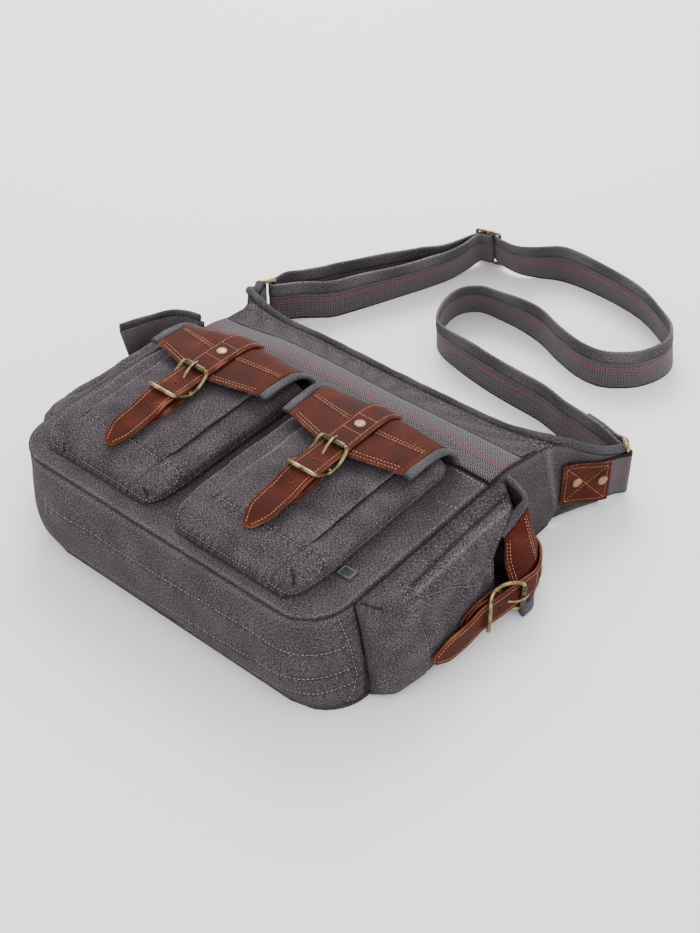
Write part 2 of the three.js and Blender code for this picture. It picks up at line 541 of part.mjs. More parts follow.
// The strap, buckle and billet of one flap; plan points here are (up, out) on the strap's own line
function fastening(name, form, flapTop, middle, mirror, face) {
  const line = mirror * form.middle[0].across * form.halfWidth;
  const seat = leather / 2 + gap + strap.thickness / 2;
  const onPlan = (point) => V(line, point.x, point.y);
  const overFlap = middle.map((point, k) => {
    const before = middle[Math.max(k - 1, 0)];
    const after = middle[Math.min(k + 1, middle.length - 1)];
    const way = V2(after.y - before.y, after.z - before.z).normalize();
    return V2(point.y + seat * way.y, point.z - seat * way.x);
  });
  const [last, tip] = middle.slice(-2);
  const t = V2(tip.y - last.y, tip.z - last.z).normalize();
  const m = V2(t.y, -t.x);
  const centre = overFlap.at(-1).clone().addScaledVector(t, buckle.length / 2 - 1);
  const at = (down, out) => centre.clone().addScaledVector(t, down).addScaledVector(m, out);

  const straightEnd = at(buckle.length / 2 + wire.buckle, 0);
  const onTail = tail.map(({ along, over }) => {
    const up = straightEnd.x - strap.tailLength * along;
    return V2(up, face(up) + over * strap.thickness);
  });
  const curve = new THREE.CatmullRomCurve3([at(0, 0), straightEnd, ...onTail].map(onPlan), false, 'centripetal');
  const whole = curve.getLength();
  const from = straightEnd.distanceTo(centre);
  const lengths = [...evenly(5).map((share) => lerp(from, whole - strap.tipLength, share)),
    whole - 0.55 * strap.tipLength, whole - 0.2 * strap.tipLength, whole];
  const stations = [...overFlap.slice(strapRow), at(0, 0)].map(onPlan)
    .concat(lengths.map((length) => curve.getPointAt(length / whole)));
  const places = placesAlong(stations, () => V(1, 0, 0));
  const narrow = [0.86, 0.6, 0.28];
  narrow.forEach((share, k) => places[places.length - narrow.length + k].a.multiplyScalar(share));
  const strapSection = flatSection(-strap.width / 2, strap.width / 2, -strap.thickness / 2, strap.thickness / 2);

  // Things at the buckle are made about its middle with Y up the strap, then set in place
  const turn = new THREE.Matrix4().makeBasis(V(1, 0, 0), V(0, -t.x, -t.y), V(0, m.x, m.y));
  turn.setPosition(line, centre.x, centre.y);
  const set = (geometry) => geometry.applyMatrix4(turn);
  const overStrap = strap.thickness / 2 + gap + buckle.rollerRadius;
  const underStrap = strap.thickness / 2 + 2 * gap + billet.thickness + wire.bar / 2;
  const halfX = strap.width / 2 + layerGap + wire.buckle / 2;
  const halfY = buckle.length / 2;
  const bowed = (y) => lerp(-underStrap, overStrap, (y / halfY) ** 2);
  const outline = roundedRectangle(halfX, halfY, buckle.corner);
  const sidePoints = (sign) => [-0.5, 0, 0.5].map((share) => V(sign * halfX, sign * share * halfY, 0));
  outline.splice(outline.length / 2, 0, ...sidePoints(-1));
  outline.push(...sidePoints(1));
  const frame = wireLoop(outline.map((p) => V(p.x, p.y, bowed(p.y))), wire.buckle / 2);
  const bar = swept(roundSection(wire.bar / 2), placesAlong(
    [V(-halfX, 0, -underStrap), V(halfX, 0, -underStrap)], () => V(0, 1, 0)));

  const rollerShape = new THREE.Shape(roundSection(buckle.rollerRadius, 10));
  rollerShape.holes.push(new THREE.Path(roundSection(wire.buckle / 2 + gap, 8)));
  const rollerLength = 2 * (halfX - buckle.corner) - 2 * gap;
  const roller = new THREE.ExtrudeGeometry(rollerShape, { depth: rollerLength, bevelEnabled: false, steps: 1 });
  roller.rotateY(Math.PI / 2).translate(-rollerLength / 2, halfY, overStrap);

  // The tongue hooks round the bar, comes up through the strap's hole and rests on the roller
  const eye = wire.bar / 2 + gap + tongueThickness / 2;
  const rest = overStrap + buckle.rollerRadius + gap + tongueThickness / 2;
  const tongueRoute = [
    ...[-60, -120, -180, -240, -280].map((angle) => (
      V(0, eye * Math.cos(degToRad(angle)), -underStrap + eye * Math.sin(degToRad(angle))))),
    V(0, 5.2, 0.4), V(0, 9.5, 4.6), V(0, halfY - 6, rest - 0.9), V(0, halfY + 1, rest), V(0, halfY + 4, rest - 0.6),
  ].reverse();
  const tongue = swept(flatSection(-buckle.tongueWidth / 2, buckle.tongueWidth / 2,
    -tongueThickness / 2, tongueThickness / 2), placesAlong(tongueRoute, () => V(1, 0, 0)));
  const hole = new THREE.BoxGeometry(buckle.tongueWidth + 2 * gap, 8, strap.thickness * 2).translate(0, 4.4, 0);
  const spareHole = new THREE.CylinderGeometry(1.8, 1.8, strap.thickness * 4, 8).rotateX(Math.PI / 2)
    .translate(0, -halfY - 12, -3);

  // The billet is folded round the bar, with both ends on the pocket
  const fold = wire.bar / 2 + gap + billet.thickness / 2;
  const onPocket = (down, layer) => {
    const up = centre.x - down;
    return V2(up, face(up) + gap + billet.thickness * (layer + 0.5) + gap * 1.5 * layer);
  };
  const aroundBar = [-90, -45, 0, 45, 90].map((angle) => (
    at(-fold * Math.cos(degToRad(angle)), -underStrap + fold * Math.sin(degToRad(angle)))));
  const billetRoute = [
    onPocket(billet.length, 0), onPocket(billet.length * 0.75, 0), onPocket(billet.length * 0.5, 0),
    ...aroundBar, onPocket(billet.length * 0.48, 1), onPocket(billet.length * 0.7, 1),
    onPocket(billet.length * 0.9, 1),
  ];
  const billetPlaces = placesAlong(billetRoute.map(onPlan), () => V(1, 0, 0));
  const billetSection = flatSection(-strap.width / 2, strap.width / 2, -billet.thickness / 2, billet.thickness / 2);
  const slot = set(new THREE.BoxGeometry(buckle.tongueWidth + 2 * gap, 4 * fold, 3 * fold)
    .translate(0, 0.4 * fold, -underStrap));

  const rivetUp = flapTop - form.rivetDown * form.drop;
  const above = overFlap.findIndex((point, k) => k > 0 && point.x < rivetUp);
  const [upper, lower] = [overFlap[above - 1], overFlap[above]];
  const lie = lower.clone().sub(upper).normalize();
  const rivetBase = upper.clone().lerp(lower, (upper.x - rivetUp) / (upper.x - lower.x))
    .add(V2(lie.y, -lie.x).multiplyScalar(strap.thickness / 2 + 1.5 * gap));
  const rivetTurn = new THREE.Matrix4().makeBasis(V(1, 0, 0), V(0, -lie.x, -lie.y), V(0, lie.y, -lie.x));
  rivetTurn.setPosition(onPlan(rivetBase));

  return [
    named(`strap_${name}`, cut(swept(strapSection, places), set(hole), set(spareHole)), 'leather'),
    named(`rivet_${name}`, rivetCap().applyMatrix4(rivetTurn), 'copper'),
    named(`buckle_frame_${name}`, fused(set(frame), set(bar)), 'brass'),
    named(`buckle_roller_${name}`, set(roller), 'brass'),
    named(`buckle_tongue_${name}`, set(tongue), 'brass'),
    named(`billet_${name}`, cut(swept(billetSection, billetPlaces), slot), 'leather'),
  ];
}
function rivetCap() {
  const { radius, height } = rivet;
  const profile = [V2(0, 0), V2(radius, 0), V2(radius, height * 0.45), V2(radius * 0.72, height), V2(0, height)];
  return new THREE.LatheGeometry(profile, 10).rotateX(Math.PI / 2);
}

function frontAssembly(row) {
  const carrier = (across, up) => frontHeight(row.centre + across, up) - body.depth;
  const flapTop = bandLow - layerGap - leather / 2;
  const flap = flapParts(frontFlap, frontFlap.near, flapTop, 1, carrier, 1);
  const face = pocketFace(row, frontSection, frontProfile, 0, carrier, 1);
  const pocket = pocketSheet(row, frontSection, frontProfile, 1, carrier, 1);
  const group = new THREE.Group();
  group.position.set(row.centre, 0, body.depth);
  group.add(...assembly(row.name, pocket, flap, fastening(row.name, frontFlap, flapTop, flap.middle, 1, face)));
  return group;
}
// A side assembly is made like a front one, then turned to face away from the side of the bag
function sideAssembly(row) {
  const end = ends.find(({ side }) => side === row.side);
  const carrier = (across, up) => sideOut(up, body.depth / 2 - across, end);
  const flap = flapParts(sideFlap, sideFlapEdges[row.name], sideFlap.top, row.side, carrier, 0);
  const line = sideFlap.middle[0].across * sideFlap.halfWidth;
  const face = pocketFace(row, sideSection, sideProfile, line, carrier, 0);
  const pocket = pocketSheet(row, sideSection, sideProfile, row.side, carrier, 0);
  const name = `side_${row.name}`;
  const group = new THREE.Group();
  group.position.set(row.side * halfWidth, 0, body.depth / 2);
  group.rotation.y = (row.side * Math.PI) / 2;
  group.add(...assembly(name, pocket, flap, fastening(name, sideFlap, sideFlap.top, flap.middle, row.side, face)));
  return group;
}
function assembly(name, pocket, flap, hardware) {
  return [
    named(`pocket_${name}`, pocket, 'canvas'),
    named(`flap_${name}`, flap.leather, 'leather'),
    ...flap.bindings.map((piece, k) => named(`flap_binding_${k + 1}_${name}`, piece, 'binding')),
    ...hardware,
  ];
}

// The ears' patches, rivets, tabs and rings
function earLine(end, along) {
  const k = Math.max(earRows.findIndex((row) => row.along >= along), 1);
  const share = (along - earRows[k - 1].along) / (earRows[k].along - earRows[k - 1].along);
  const out = (row) => (row.outTop + row.outLow) / 2;
  return V(end.side * (halfWidth + ear.flare * lerp(out(earRows[k - 1]), out(earRows[k]), share) - body.canvas / 2),
    rimY + end.length * along, 0);
}
function tilted(along) {
  return tabLow + patch.tilt * (1 - smoothstep(along, patch.from, patch.to));
}
function endPins(end) {
  const tip = earLine(end, 1);
  const way = tip.clone().sub(earLine(end, 0.9)).normalize();
  const tabPin = tip.clone().addScaledVector(way, ring.fromTip);
  const angle = degToRad(end.ringAngle);
  const strapPin = tabPin.clone().add(V(ring.length * Math.cos(angle), ring.length * Math.sin(angle), 0));
  return { tip, way, tabPin, strapPin };
}
function layerOnEar(end, shares, offset, inner = false) {
  return shares.map((along) => {
    const tangent = earLine(end, Math.min(along + 0.04, 1)).sub(earLine(end, along - 0.04)).normalize();
    const outward = V(tangent.y * end.side, -tangent.x * end.side, 0).multiplyScalar(inner ? -offset : offset);
    return earLine(end, along).add(outward).setZ(tilted(along));
  });
}
function earHardware(end) {
  const { way, tabPin, strapPin } = endPins(end);
  const onTab = body.canvas / 2 + gap + webbing.thickness / 2;
  const onPatch = onTab + webbing.thickness / 2 + layerGap + patch.thickness / 2;
  const outward = V(way.y * end.side, -way.x * end.side, 0);
  const turn = wire.ring / 2 + layerGap + webbing.thickness / 2;
  const around = [90, 60, 30, 0, -30, -60, -90].map((angle) => (
    tabPin.clone().addScaledVector(outward, turn * Math.sin(degToRad(angle)))
      .addScaledVector(way, turn * Math.cos(degToRad(angle))).setZ(tabLow)));
  const tabRoute = [
    ...layerOnEar(end, [patch.from + 0.11, 0.38, 0.5, 0.64, 0.76, 0.88, 0.97], onTab), ...around,
    ...layerOnEar(end, [0.97, 0.88, 0.76, 0.62], onTab, true),
  ];
  const half = webbing.thickness / 2;
  const tab = swept(flatSection(-half, half, 0, webbing.width), placesAlong(tabRoute, uprightSide));

  const patchRoute = layerOnEar(end, [patch.from, 0.38, 0.5, 0.64, 0.76, patch.to], onPatch);
  const patchHalf = patch.thickness / 2;
  const leatherPatch = swept(flatSection(-patchHalf, patchHalf, 0, webbing.width),
    placesAlong(patchRoute, uprightSide));
  const rivets = [0.40, 0.74].map((along, k) => {
    const [a, b] = layerOnEar(end, [along - 0.05, along + 0.05], onPatch + patchHalf + 1.5 * gap);
    const facing = V((b.y - a.y) * end.side, (a.x - b.x) * end.side, 0).normalize();
    const cap = rivetCap().applyQuaternion(new THREE.Quaternion().setFromUnitVectors(V(0, 0, 1), facing));
    const middle = a.clone().lerp(b, 0.5).add(V(0, 0, webbing.width * 0.55));
    return named(`ear_rivet_${k + 1}_${end.name}`, cap.translate(...middle.toArray()), 'copper');
  });

  const loop = wireLoop(roundedRectangle(ring.length / 2, ringHeight / 2, ring.corner), wire.ring / 2);
  const along = strapPin.clone().sub(tabPin).normalize();
  const basis = new THREE.Matrix4().makeBasis(along, V(0, 0, 1), along.clone().cross(V(0, 0, 1)));
  const centre = tabPin.clone().lerp(strapPin, 0.5).setZ(wireLow + ringHeight / 2);
  loop.applyMatrix4(basis.setPosition(centre));
  return [
    named(`ear_patch_${end.name}`, leatherPatch, 'leather'), ...rivets,
    named(`ring_tab_${end.name}`, tab, 'webbing'), named(`ring_${end.name}`, loop, 'brass'),
  ];
}

// The slider and the shoulder strap
function onGround({ across, up }) {
  return V(across * halfWidth, rimY + up * shoulder.reach, 0);
}
function leaned(geometry) {
  const place = geometry.attributes.position;
  for (let k = 0; k < place.count; k += 1) {
    const point = V().fromBufferAttribute(place, k);
    const flat = point.clone().setZ(0);
    leans.forEach((lean) => {
      const far = lean.reach * shoulder.reach;
      const share = 1 - smoothstep(flat.distanceTo(onGround(lean)), far * 0.25, far);
      point.add(V(lean.x, lean.y, 0).multiplyScalar(share * point.z));
    });
    place.setXYZ(k, ...point.toArray());
  }
  return geometry;
}
const sliderCentre = onGround(slider);
const sliderWay = V(Math.cos(degToRad(slider.angle)), Math.sin(degToRad(slider.angle)), 0);
// Points on an arc about an upright wire; the way is where its angles start
function arc(centre, way, radius, angles) {
  const over = V(-way.y, way.x, 0);
  return angles.map((angle) => centre.clone().addScaledVector(way, radius * Math.cos(degToRad(angle)))
    .addScaledVector(over, radius * Math.sin(degToRad(angle))));
}

function strapSlider() {
  const z = wireLow + ringHeight / 2;
  const outline = roundedRectangle(slider.length / 2, ringHeight / 2, slider.corner);
  const bar = swept(roundSection(wire.slider / 2), placesAlong(
    [V(0, -ringHeight / 2, 0), V(0, ringHeight / 2, 0)], () => V(1, 0, 0)));
  const basis = new THREE.Matrix4().makeBasis(sliderWay, V(0, 0, 1), sliderWay.clone().cross(V(0, 0, 1)));
  basis.setPosition(sliderCentre.clone().setZ(z));
  return leaned(fused(wireLoop(outline, wire.slider / 2), bar).applyMatrix4(basis));
}
// The strap starts folded round the slider's middle bar, goes to the left ring and back through the slider,
// then runs to the right ring, where its end is sewn back
function shoulderStrap() {
  const half = shoulder.thickness / 2;
  const layer = shoulder.thickness + gap;
  const near = wire.slider / 2 + gap + half;
  const far = near + layer;
  const barNear = sliderCentre.clone().addScaledVector(sliderWay, -slider.length / 2);
  const barFar = sliderCentre.clone().addScaledVector(sliderWay, slider.length / 2);
  const steep = Math.asin((near + far) / (slider.length / 2)) * THREE.MathUtils.RAD2DEG;
  const [rightEnd, leftEnd] = ends.map(endPins);
  const aroundPin = ({ tabPin, strapPin }, angles) => (
    arc(strapPin, tabPin.clone().sub(strapPin).normalize(), wire.ring / 2 + layerGap + half, angles));
  const atRing = ringRun.map(({ across, up }) => (
    V(across, up, 0).multiplyScalar(webbing.width).add(rightEnd.strapPin)));
  const lastRun = atRing.slice(-2);
  const away = lastRun[0].clone().sub(lastRun[1]).normalize();
  const sewn = [0, 0.5, 1].map((share) => lastRun[1].clone().addScaledVector(away, shoulder.sewnEnd * (share - 0.6))
    .addScaledVector(V(away.y, -away.x, 0), layer + gap));
  const points = [
    ...arc(sliderCentre, sliderWay, near, [100, 70, 40, 10, -20, -50, -80]),
    ...arc(barNear, sliderWay, far, [-steep + 12]),
    ...[...frontLayer].reverse().map(onGround),
    ...aroundPin(leftEnd, [80, 50, 20, -10, -35]),
    ...backLayer.map(onGround),
    ...arc(barNear, sliderWay, near, [steep - 90]),
    ...arc(sliderCentre, sliderWay, far, [90 + steep, 115, 90, 65, 90 - steep]),
    ...arc(barFar, sliderWay, near, [-90 - steep, -115]),
    ...longRun.map(onGround),
    ...atRing,
    ...aroundPin(rightEnd, [-60, -25, 10, 45, 80, 115]),
    ...sewn,
  ];
  const route = new THREE.CatmullRomCurve3(points, false, 'centripetal');
  const stations = points.slice(1).flatMap((point, k) => {
    const steps = Math.ceil(point.distanceTo(points[k]) / 15);
    return evenly(steps).slice(1).map((share) => route.getPoint((k + share) / (points.length - 1)));
  });
  const raised = [sliderCentre, rightEnd.strapPin, leftEnd.strapPin];
  const lifted = [points[0], ...stations].map((point) => {
    const share = Math.max(...raised.map((pin) => 1 - smoothstep(point.distanceTo(pin), 18, 70)));
    return point.clone().setZ(tabLow * share);
  });
  return leaned(swept(flatSection(-half, half, 0, webbing.width), placesAlong(lifted, uprightSide)));
}

function sideTagPiece() {
  const [, row] = frontPockets;
  const x = row.centre + row.width / 2 + 3 * layerGap + sideTag.width / 2;
  const y = baseY + sideTag.aboveBase;
  return new THREE.BoxGeometry(sideTag.width, sideTag.length, sideTag.thickness)
    .translate(x, y, frontHeight(x, y) + layerGap + sideTag.thickness / 2);
}

const bag = new THREE.Group();
bag.add(
  named('back_panel', backPanel(), 'canvas'),
  named('front_panel', frontPanel(), 'canvas'),
  named('gusset', gusset(), 'canvas'),
  named('webbing_band', webbingBand(), 'webbing'),
  named('ruffle_strip', ruffleStrip(), 'canvas'),
  named('rim_binding_front', frontRimBinding(), 'binding'),
  named('rim_binding_back', backRimBinding(), 'binding'),
  named('side_tag', sideTagPiece(), 'webbing'),
  ...frontPockets.map(frontAssembly),
  ...sidePockets.map(sideAssembly),
  ...ends.flatMap(earHardware),
  named('strap_slider', strapSlider(), 'brass'),
  named('shoulder_strap', shoulderStrap(), 'webbing'),
);

export default bag;
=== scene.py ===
"""A canvas mail bag lying on its back: the cloth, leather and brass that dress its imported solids.

Shapes are worked out in millimetres, in the bag's own frame: X across it, Y from its base to its mouth,
Z from its back panel to its front. Each is a grid of points, or a section carried along a path.
"""

import bpy
import numpy as np
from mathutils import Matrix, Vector


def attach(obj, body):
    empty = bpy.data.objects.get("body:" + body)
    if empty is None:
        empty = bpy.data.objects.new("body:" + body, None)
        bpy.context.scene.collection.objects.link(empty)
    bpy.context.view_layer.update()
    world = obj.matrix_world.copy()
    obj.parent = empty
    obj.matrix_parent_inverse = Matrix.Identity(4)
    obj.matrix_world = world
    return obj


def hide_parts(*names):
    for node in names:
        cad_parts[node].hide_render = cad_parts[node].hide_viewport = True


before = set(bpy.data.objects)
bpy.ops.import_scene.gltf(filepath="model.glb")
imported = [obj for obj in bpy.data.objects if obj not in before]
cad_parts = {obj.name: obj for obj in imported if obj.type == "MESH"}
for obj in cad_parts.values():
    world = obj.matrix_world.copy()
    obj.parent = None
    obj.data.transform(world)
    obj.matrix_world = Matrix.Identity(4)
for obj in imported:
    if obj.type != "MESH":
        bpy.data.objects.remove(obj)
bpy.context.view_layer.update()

# The camera, at the photograph's angle
camera_data = bpy.data.cameras.new("camera")
camera_data.lens, camera_data.sensor_width = 57.4, 36.0
camera_data.clip_start, camera_data.clip_end = 0.05, 50.0
camera = bpy.data.objects.new("camera", camera_data)
bpy.context.scene.collection.objects.link(camera)
camera.location = (0.6756, -0.7111, 0.9132)
toward = Vector((-0.00047, 0.09775, 0.0)) - camera.location
camera.rotation_euler = toward.to_track_quat("-Z", "Y").to_euler()
bpy.context.scene.camera = camera

# Sizes in millimetres, the same as those of the solids
GAP, LAYER = 0.3, 0.6
HALF, BASE, RIM, DEPTH, CANVAS = 173.0, -150.0, 150.0, 96.0, 1.8
FRONT_CORNER, BASE_BULGE, SIDE_BULGE = 40.0, 10.0, 3.0
BAND_TOP, BAND_LOW, RUFFLE = 116.0, 71.0, 28.0
RIM_RADIUS, WEB = 4.0, 45.0
LEATHER, STRAP_WIDE, STRAP_THICK = 2.5, 25.0, 3.0
BILLET_THICK, BILLET_LONG = 2.0, 46.0
BUCKLE_LONG, BUCKLE_CORNER, ROLLER, TONGUE_WIDE, TONGUE_THICK = 41.0, 3.5, 2.7, 2.6, 1.2
WIRE_RING, WIRE_BUCKLE, WIRE_BAR, WIRE_SLIDER = 4.5, 3.6, 3.2, 4.0
RING_LONG, RING_CORNER, RING_CLEAR, RING_TIP = 16.0, 4.0, 1.2, 6.5
WALL = 1.6
STRAP_THIN = 2.6
REACH = 246.0
BULGE_UP = np.array([0.00, 0.12, 0.32, 0.64, 1.00])
BULGE_OUT = np.array([0.00, 0.70, 1.00, 0.75, 0.00])
ENDS = {
    "right": {"side": 1, "length": 72.0, "ring": 136.0, "corner": 44.0, "low": 16.0, "high": 14.0},
    "left": {"side": -1, "length": 56.0, "ring": 65.0, "corner": 56.0, "low": 0.0, "high": 14.0},
}
WIRE_LOW = WIRE_RING / 2 + GAP
TAB_LOW = WIRE_LOW + WIRE_RING / 2 + RING_CLEAR
RING_HEIGHT = WEB + 2 * RING_CLEAR + WIRE_RING
RIM_ROOM = 2 * RIM_RADIUS + 5 * GAP


# Lengths that only the working out needs
METRES = 0.001
TINY, FAR_AWAY, SHORTEST_KNOT = 1e-9, 1e9, 1e-4

# A step so long that a grid keeps the rows it has, and how finely lines over a surface are followed
AS_GIVEN, LINE_STEPS, FOLD_STEPS = 1000.0, 60, 50

# How far a seam's puckers reach, and how much of half a wall its rounded rim stands out
PUCKER_REACH, RIM_ROUND = 3.0, 0.7
UPRIGHT = np.array([0, 0, 1.0])


# Curves and grids


def ramp(x, low, high):
    """0 below low and 1 above high, with a smooth S between: 3t squared less 2t cubed."""
    t = np.clip((np.asarray(x, float) - low) / (high - low), 0, 1)
    return t * t * (3 - 2 * t)


def mix(a, b, t):
    """a where t is 0 and b where t is 1."""
    return a + (b - a) * t


def unit(v):
    """Each vector over its own length."""
    v = np.asarray(v, float)
    return v / np.maximum(np.linalg.norm(v, axis=-1, keepdims=True), 1e-9)


def bell(x, width):
    """A smooth bump: e to the power of less x squared over width squared."""
    return np.exp(-(np.asarray(x, float) / width) ** 2)


def curve(points, per=16):
    """A centripetal Catmull-Rom curve through the points: each span's knots are the roots of its chords."""
    p = np.asarray(points, float)
    p = np.vstack([2 * p[0] - p[1], p, 2 * p[-1] - p[-2]])
    t = (np.arange(per) / per)[:, None]
    spans = []
    for k in range(1, len(p) - 2):
        p0, p1, p2, p3 = p[k - 1:k + 3]
        chords = ((p0, p1), (p1, p2), (p2, p3))
        d0, d1, d2 = (max(np.linalg.norm(b - a) ** 0.5, SHORTEST_KNOT) for a, b in chords)
        m1 = ((p1 - p0) / d0 - (p2 - p0) / (d0 + d1) + (p2 - p1) / d1) * d1
        m2 = ((p2 - p1) / d1 - (p3 - p1) / (d1 + d2) + (p3 - p2) / d2) * d1
        square, cube = 3 * (p2 - p1) - 2 * m1 - m2, 2 * (p1 - p2) + m1 + m2
        spans.append(p1 + m1 * t + square * t ** 2 + cube * t ** 3)
    return np.vstack(spans + [p[-2:-1]])


def run_of(points):
    """The distance run along a row of points, from its first."""
    return np.concatenate([[0], np.cumsum(np.linalg.norm(np.diff(points, axis=0), axis=-1))])


def spaced(points, count):
    """count + 1 points spread evenly along a row of points."""
    run = run_of(points)
    at = np.linspace(0, run[-1], count + 1)
    return np.stack([np.interp(at, run, points[:, k]) for k in range(points.shape[1])], -1)


def take(grid, at, axis):
    """The grid's values at the given places along an axis, on straight lines between its own rows."""
    grid = np.moveaxis(np.asarray(grid, float), axis, 0)
    k = np.clip(np.floor(at).astype(int), 0, len(grid) - 2)
    t = (np.asarray(at) - k).reshape((-1,) + (1,) * (grid.ndim - 1))
    return np.moveaxis(grid[k] * (1 - t) + grid[k + 1] * t, 0, axis)


def places(grid, axis, step):
    """Places along an axis, a step apart in millimetres at most, that keep the grid's own rows."""
    other = tuple(k for k in range(grid.ndim - 1) if k != axis)
    spans = np.linalg.norm(np.diff(grid, axis=axis), axis=-1).mean(axis=other)
    counts = [max(int(np.ceil(span / step)), 1) for span in spans]
    at = [np.linspace(k, k + 1, count, endpoint=False) for k, count in enumerate(counts)]
    return np.concatenate(at + [[len(spans)]])


def soften(grid, axis, width):
    """A blur along an axis, with the ends held: the row is turned over its ends before the blur."""
    if width <= 0:
        return grid
    grid = np.moveaxis(grid, axis, 0)
    reach = min(int(np.ceil(width * 2.5)), len(grid) - 1)
    weight = bell(np.arange(-reach, reach + 1), width * 1.4142)
    weight /= weight.sum()
    before, after = 2 * grid[:1] - grid[reach:0:-1], 2 * grid[-1:] - grid[-2:-reach - 2:-1]
    long = np.concatenate([before, grid, after])
    out = sum(w * long[k:k + len(grid)] for k, w in enumerate(weight))
    return np.moveaxis(out, 0, axis)


def normals_of(grid):
    """Across crossed with along, at each point of a grid of points."""
    along, across = np.gradient(grid, axis=0), np.gradient(grid, axis=1)
    return unit(np.cross(across, along))


class Skin:
    """A fine surface made from a rough grid of points. Places on it are given by the rough grid's own row and
    column numbers. Its facing is -1 where the grid is mirrored, so that its normals still point outward."""

    def __init__(self, rough, step=AS_GIVEN, soft=(0.0, 0.0), facing=1):
        rough = np.asarray(rough, float)
        self.facing = facing
        self.rows, self.columns = places(rough, 0, step), places(rough, 1, step)
        fine = take(take(rough, self.rows, 0), self.columns, 1)
        self.points = soften(soften(fine, 0, soft[0] / step), 1, soft[1] / step)
        self.normals = facing * normals_of(self.points)
        self.shade = np.zeros(self.points.shape[:2])
        middle_row = self.points[len(self.rows) // 2]
        middle_column = self.points[:, len(self.columns) // 2]
        self.cloth = np.stack(np.meshgrid(run_of(middle_row), run_of(middle_column)), -1) * METRES

    def raised(self, height, shade=0.0):
        """Moves the surface out along its normals, and makes it paler, or darker, by the shade."""
        self.points = self.points + self.normals * np.asarray(height)[..., None]
        self.shade = self.shade + shade
        self.normals = self.facing * normals_of(self.points)

    def at(self, row, column, lift=0.0):
        """Points over the surface, and the normals there, from rough row and column numbers."""
        i = np.interp(row, self.rows, np.arange(len(self.rows)))
        i = np.clip(i, 0, len(self.rows) - 1.001)
        j = np.interp(column, self.columns, np.arange(len(self.columns)))
        j = np.clip(j, 0, len(self.columns) - 1.001)
        a, b = i.astype(int), j.astype(int)
        s, t = (i - a)[..., None], (j - b)[..., None]

        def blend(values):
            """Values between the four grid points round each place."""
            left = values[a, b] * (1 - s) + values[a + 1, b] * s
            right = values[a, b + 1] * (1 - s) + values[a + 1, b + 1] * s
            return left * (1 - t) + right * t
        normal = unit(blend(self.normals))
        return blend(self.points) + normal * lift, normal

    def line(self, corners, lift=0.0):
        """A line over the surface through (row, column) corners, as points and normals."""
        corners = np.asarray(corners, float)
        at = np.linspace(0, len(corners) - 1, (len(corners) - 1) * LINE_STEPS + 1)
        return self.at(take(corners[:, 0], at, 0), take(corners[:, 1], at, 0), lift)

    def near(self, line):
        """Each point's distance to the nearest point of a line, and how far along the line that is."""
        line = np.asarray(line)
        run = run_of(line)
        flat = self.points.reshape(-1, 3)
        gap, way = np.full(len(flat), FAR_AWAY), np.zeros(len(flat))
        for k in range(len(line) - 1):
            span = line[k + 1] - line[k]
            t = np.clip((flat - line[k]) @ span / max(span @ span, TINY), 0, 1)
            d = np.linalg.norm(flat - line[k] - t[:, None] * span, axis=1)
            closer = d < gap
            gap[closer], way[closer] = d[closer], run[k] + t[closer] * (run[k + 1] - run[k])
        return gap.reshape(self.shade.shape), way.reshape(self.shade.shape)

    def seam(self, corners, depth, width, pucker, pitch, dark):
        """A sewn line: a groove darkened with painted shade, with small puckers beside it, painted paler on
        their crests and darker in their hollows, that die away over a few millimetres.
        """
        line, _ = self.line(corners)
        gap, way = self.near(spaced(line, LINE_STEPS))
        groove = bell(gap, width)
        uneven = np.sin(2 * np.pi * way / pitch) * np.sin(0.37 * way / pitch + 1.0)
        waves = bell(gap - PUCKER_REACH, PUCKER_REACH) * uneven
        self.raised(pucker * waves - depth * groove, 0.25 * waves - dark * groove)

    def fold(self, corners, height, width, shade, shade_width):
        """A rounded ridge along a line, or a valley where the height is below 0, with its own painted shade
        where the shade is below 0 and painted light where it is above.
        """
        gap, _ = self.near(spaced(self.line(corners)[0], FOLD_STEPS))
        self.raised(height * bell(gap, width), shade * bell(gap, shade_width))


def ripples(points, seed, size, count=18, stretch=(1, 1, 1)):
    """Soft uneven ground: the sum of plane waves over the root of their number, each with its own way, length
    and phase, all from one seed."""
    rng = np.random.default_rng(seed)
    total = np.zeros(points.shape[:-1])
    for _ in range(count):
        way = unit(rng.normal(size=3)) * np.asarray(stretch) * 2 * np.pi / (size * rng.uniform(0.6, 1.6))
        total += np.sin(points @ way + rng.uniform(0, 2 * np.pi))
    return total / count ** 0.5


# Meshes


def put_mesh(name, points, faces, material, nodes=(), cloth=None, shade=None):
    """One finished piece: points in millimetres, groups of faces, cloth lengths in metres, and a shade."""
    mesh = bpy.data.meshes.new(name)
    corners = [face for group in faces for face in np.asarray(group).tolist()]
    mesh.from_pydata((np.asarray(points, float) * METRES).tolist(), [], corners)
    mesh.polygons.foreach_set("use_smooth", np.ones(len(mesh.polygons), bool))
    if cloth is not None:
        index = np.zeros(len(mesh.loops), np.int32)
        mesh.loops.foreach_get("vertex_index", index)
        layer = mesh.uv_layers.new(name="cloth")
        layer.data.foreach_set("uv", np.asarray(cloth, np.float32)[index].ravel())
    if shade is not None:
        values = mesh.attributes.new("shade", "FLOAT", "POINT")
        values.data.foreach_set("value", np.asarray(shade, np.float32).ravel())
    mesh.materials.append(material)
    mesh.update()
    piece = bpy.data.objects.new(name, mesh)
    bpy.context.scene.collection.objects.link(piece)
    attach(piece, "root")
    if nodes:
        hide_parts(*nodes)


def border_of(index):
    """The numbers of a grid's edge points, in a ring."""
    return np.concatenate([index[0, :-1], index[:-1, -1], index[-1, :0:-1], index[:0:-1, 0]])


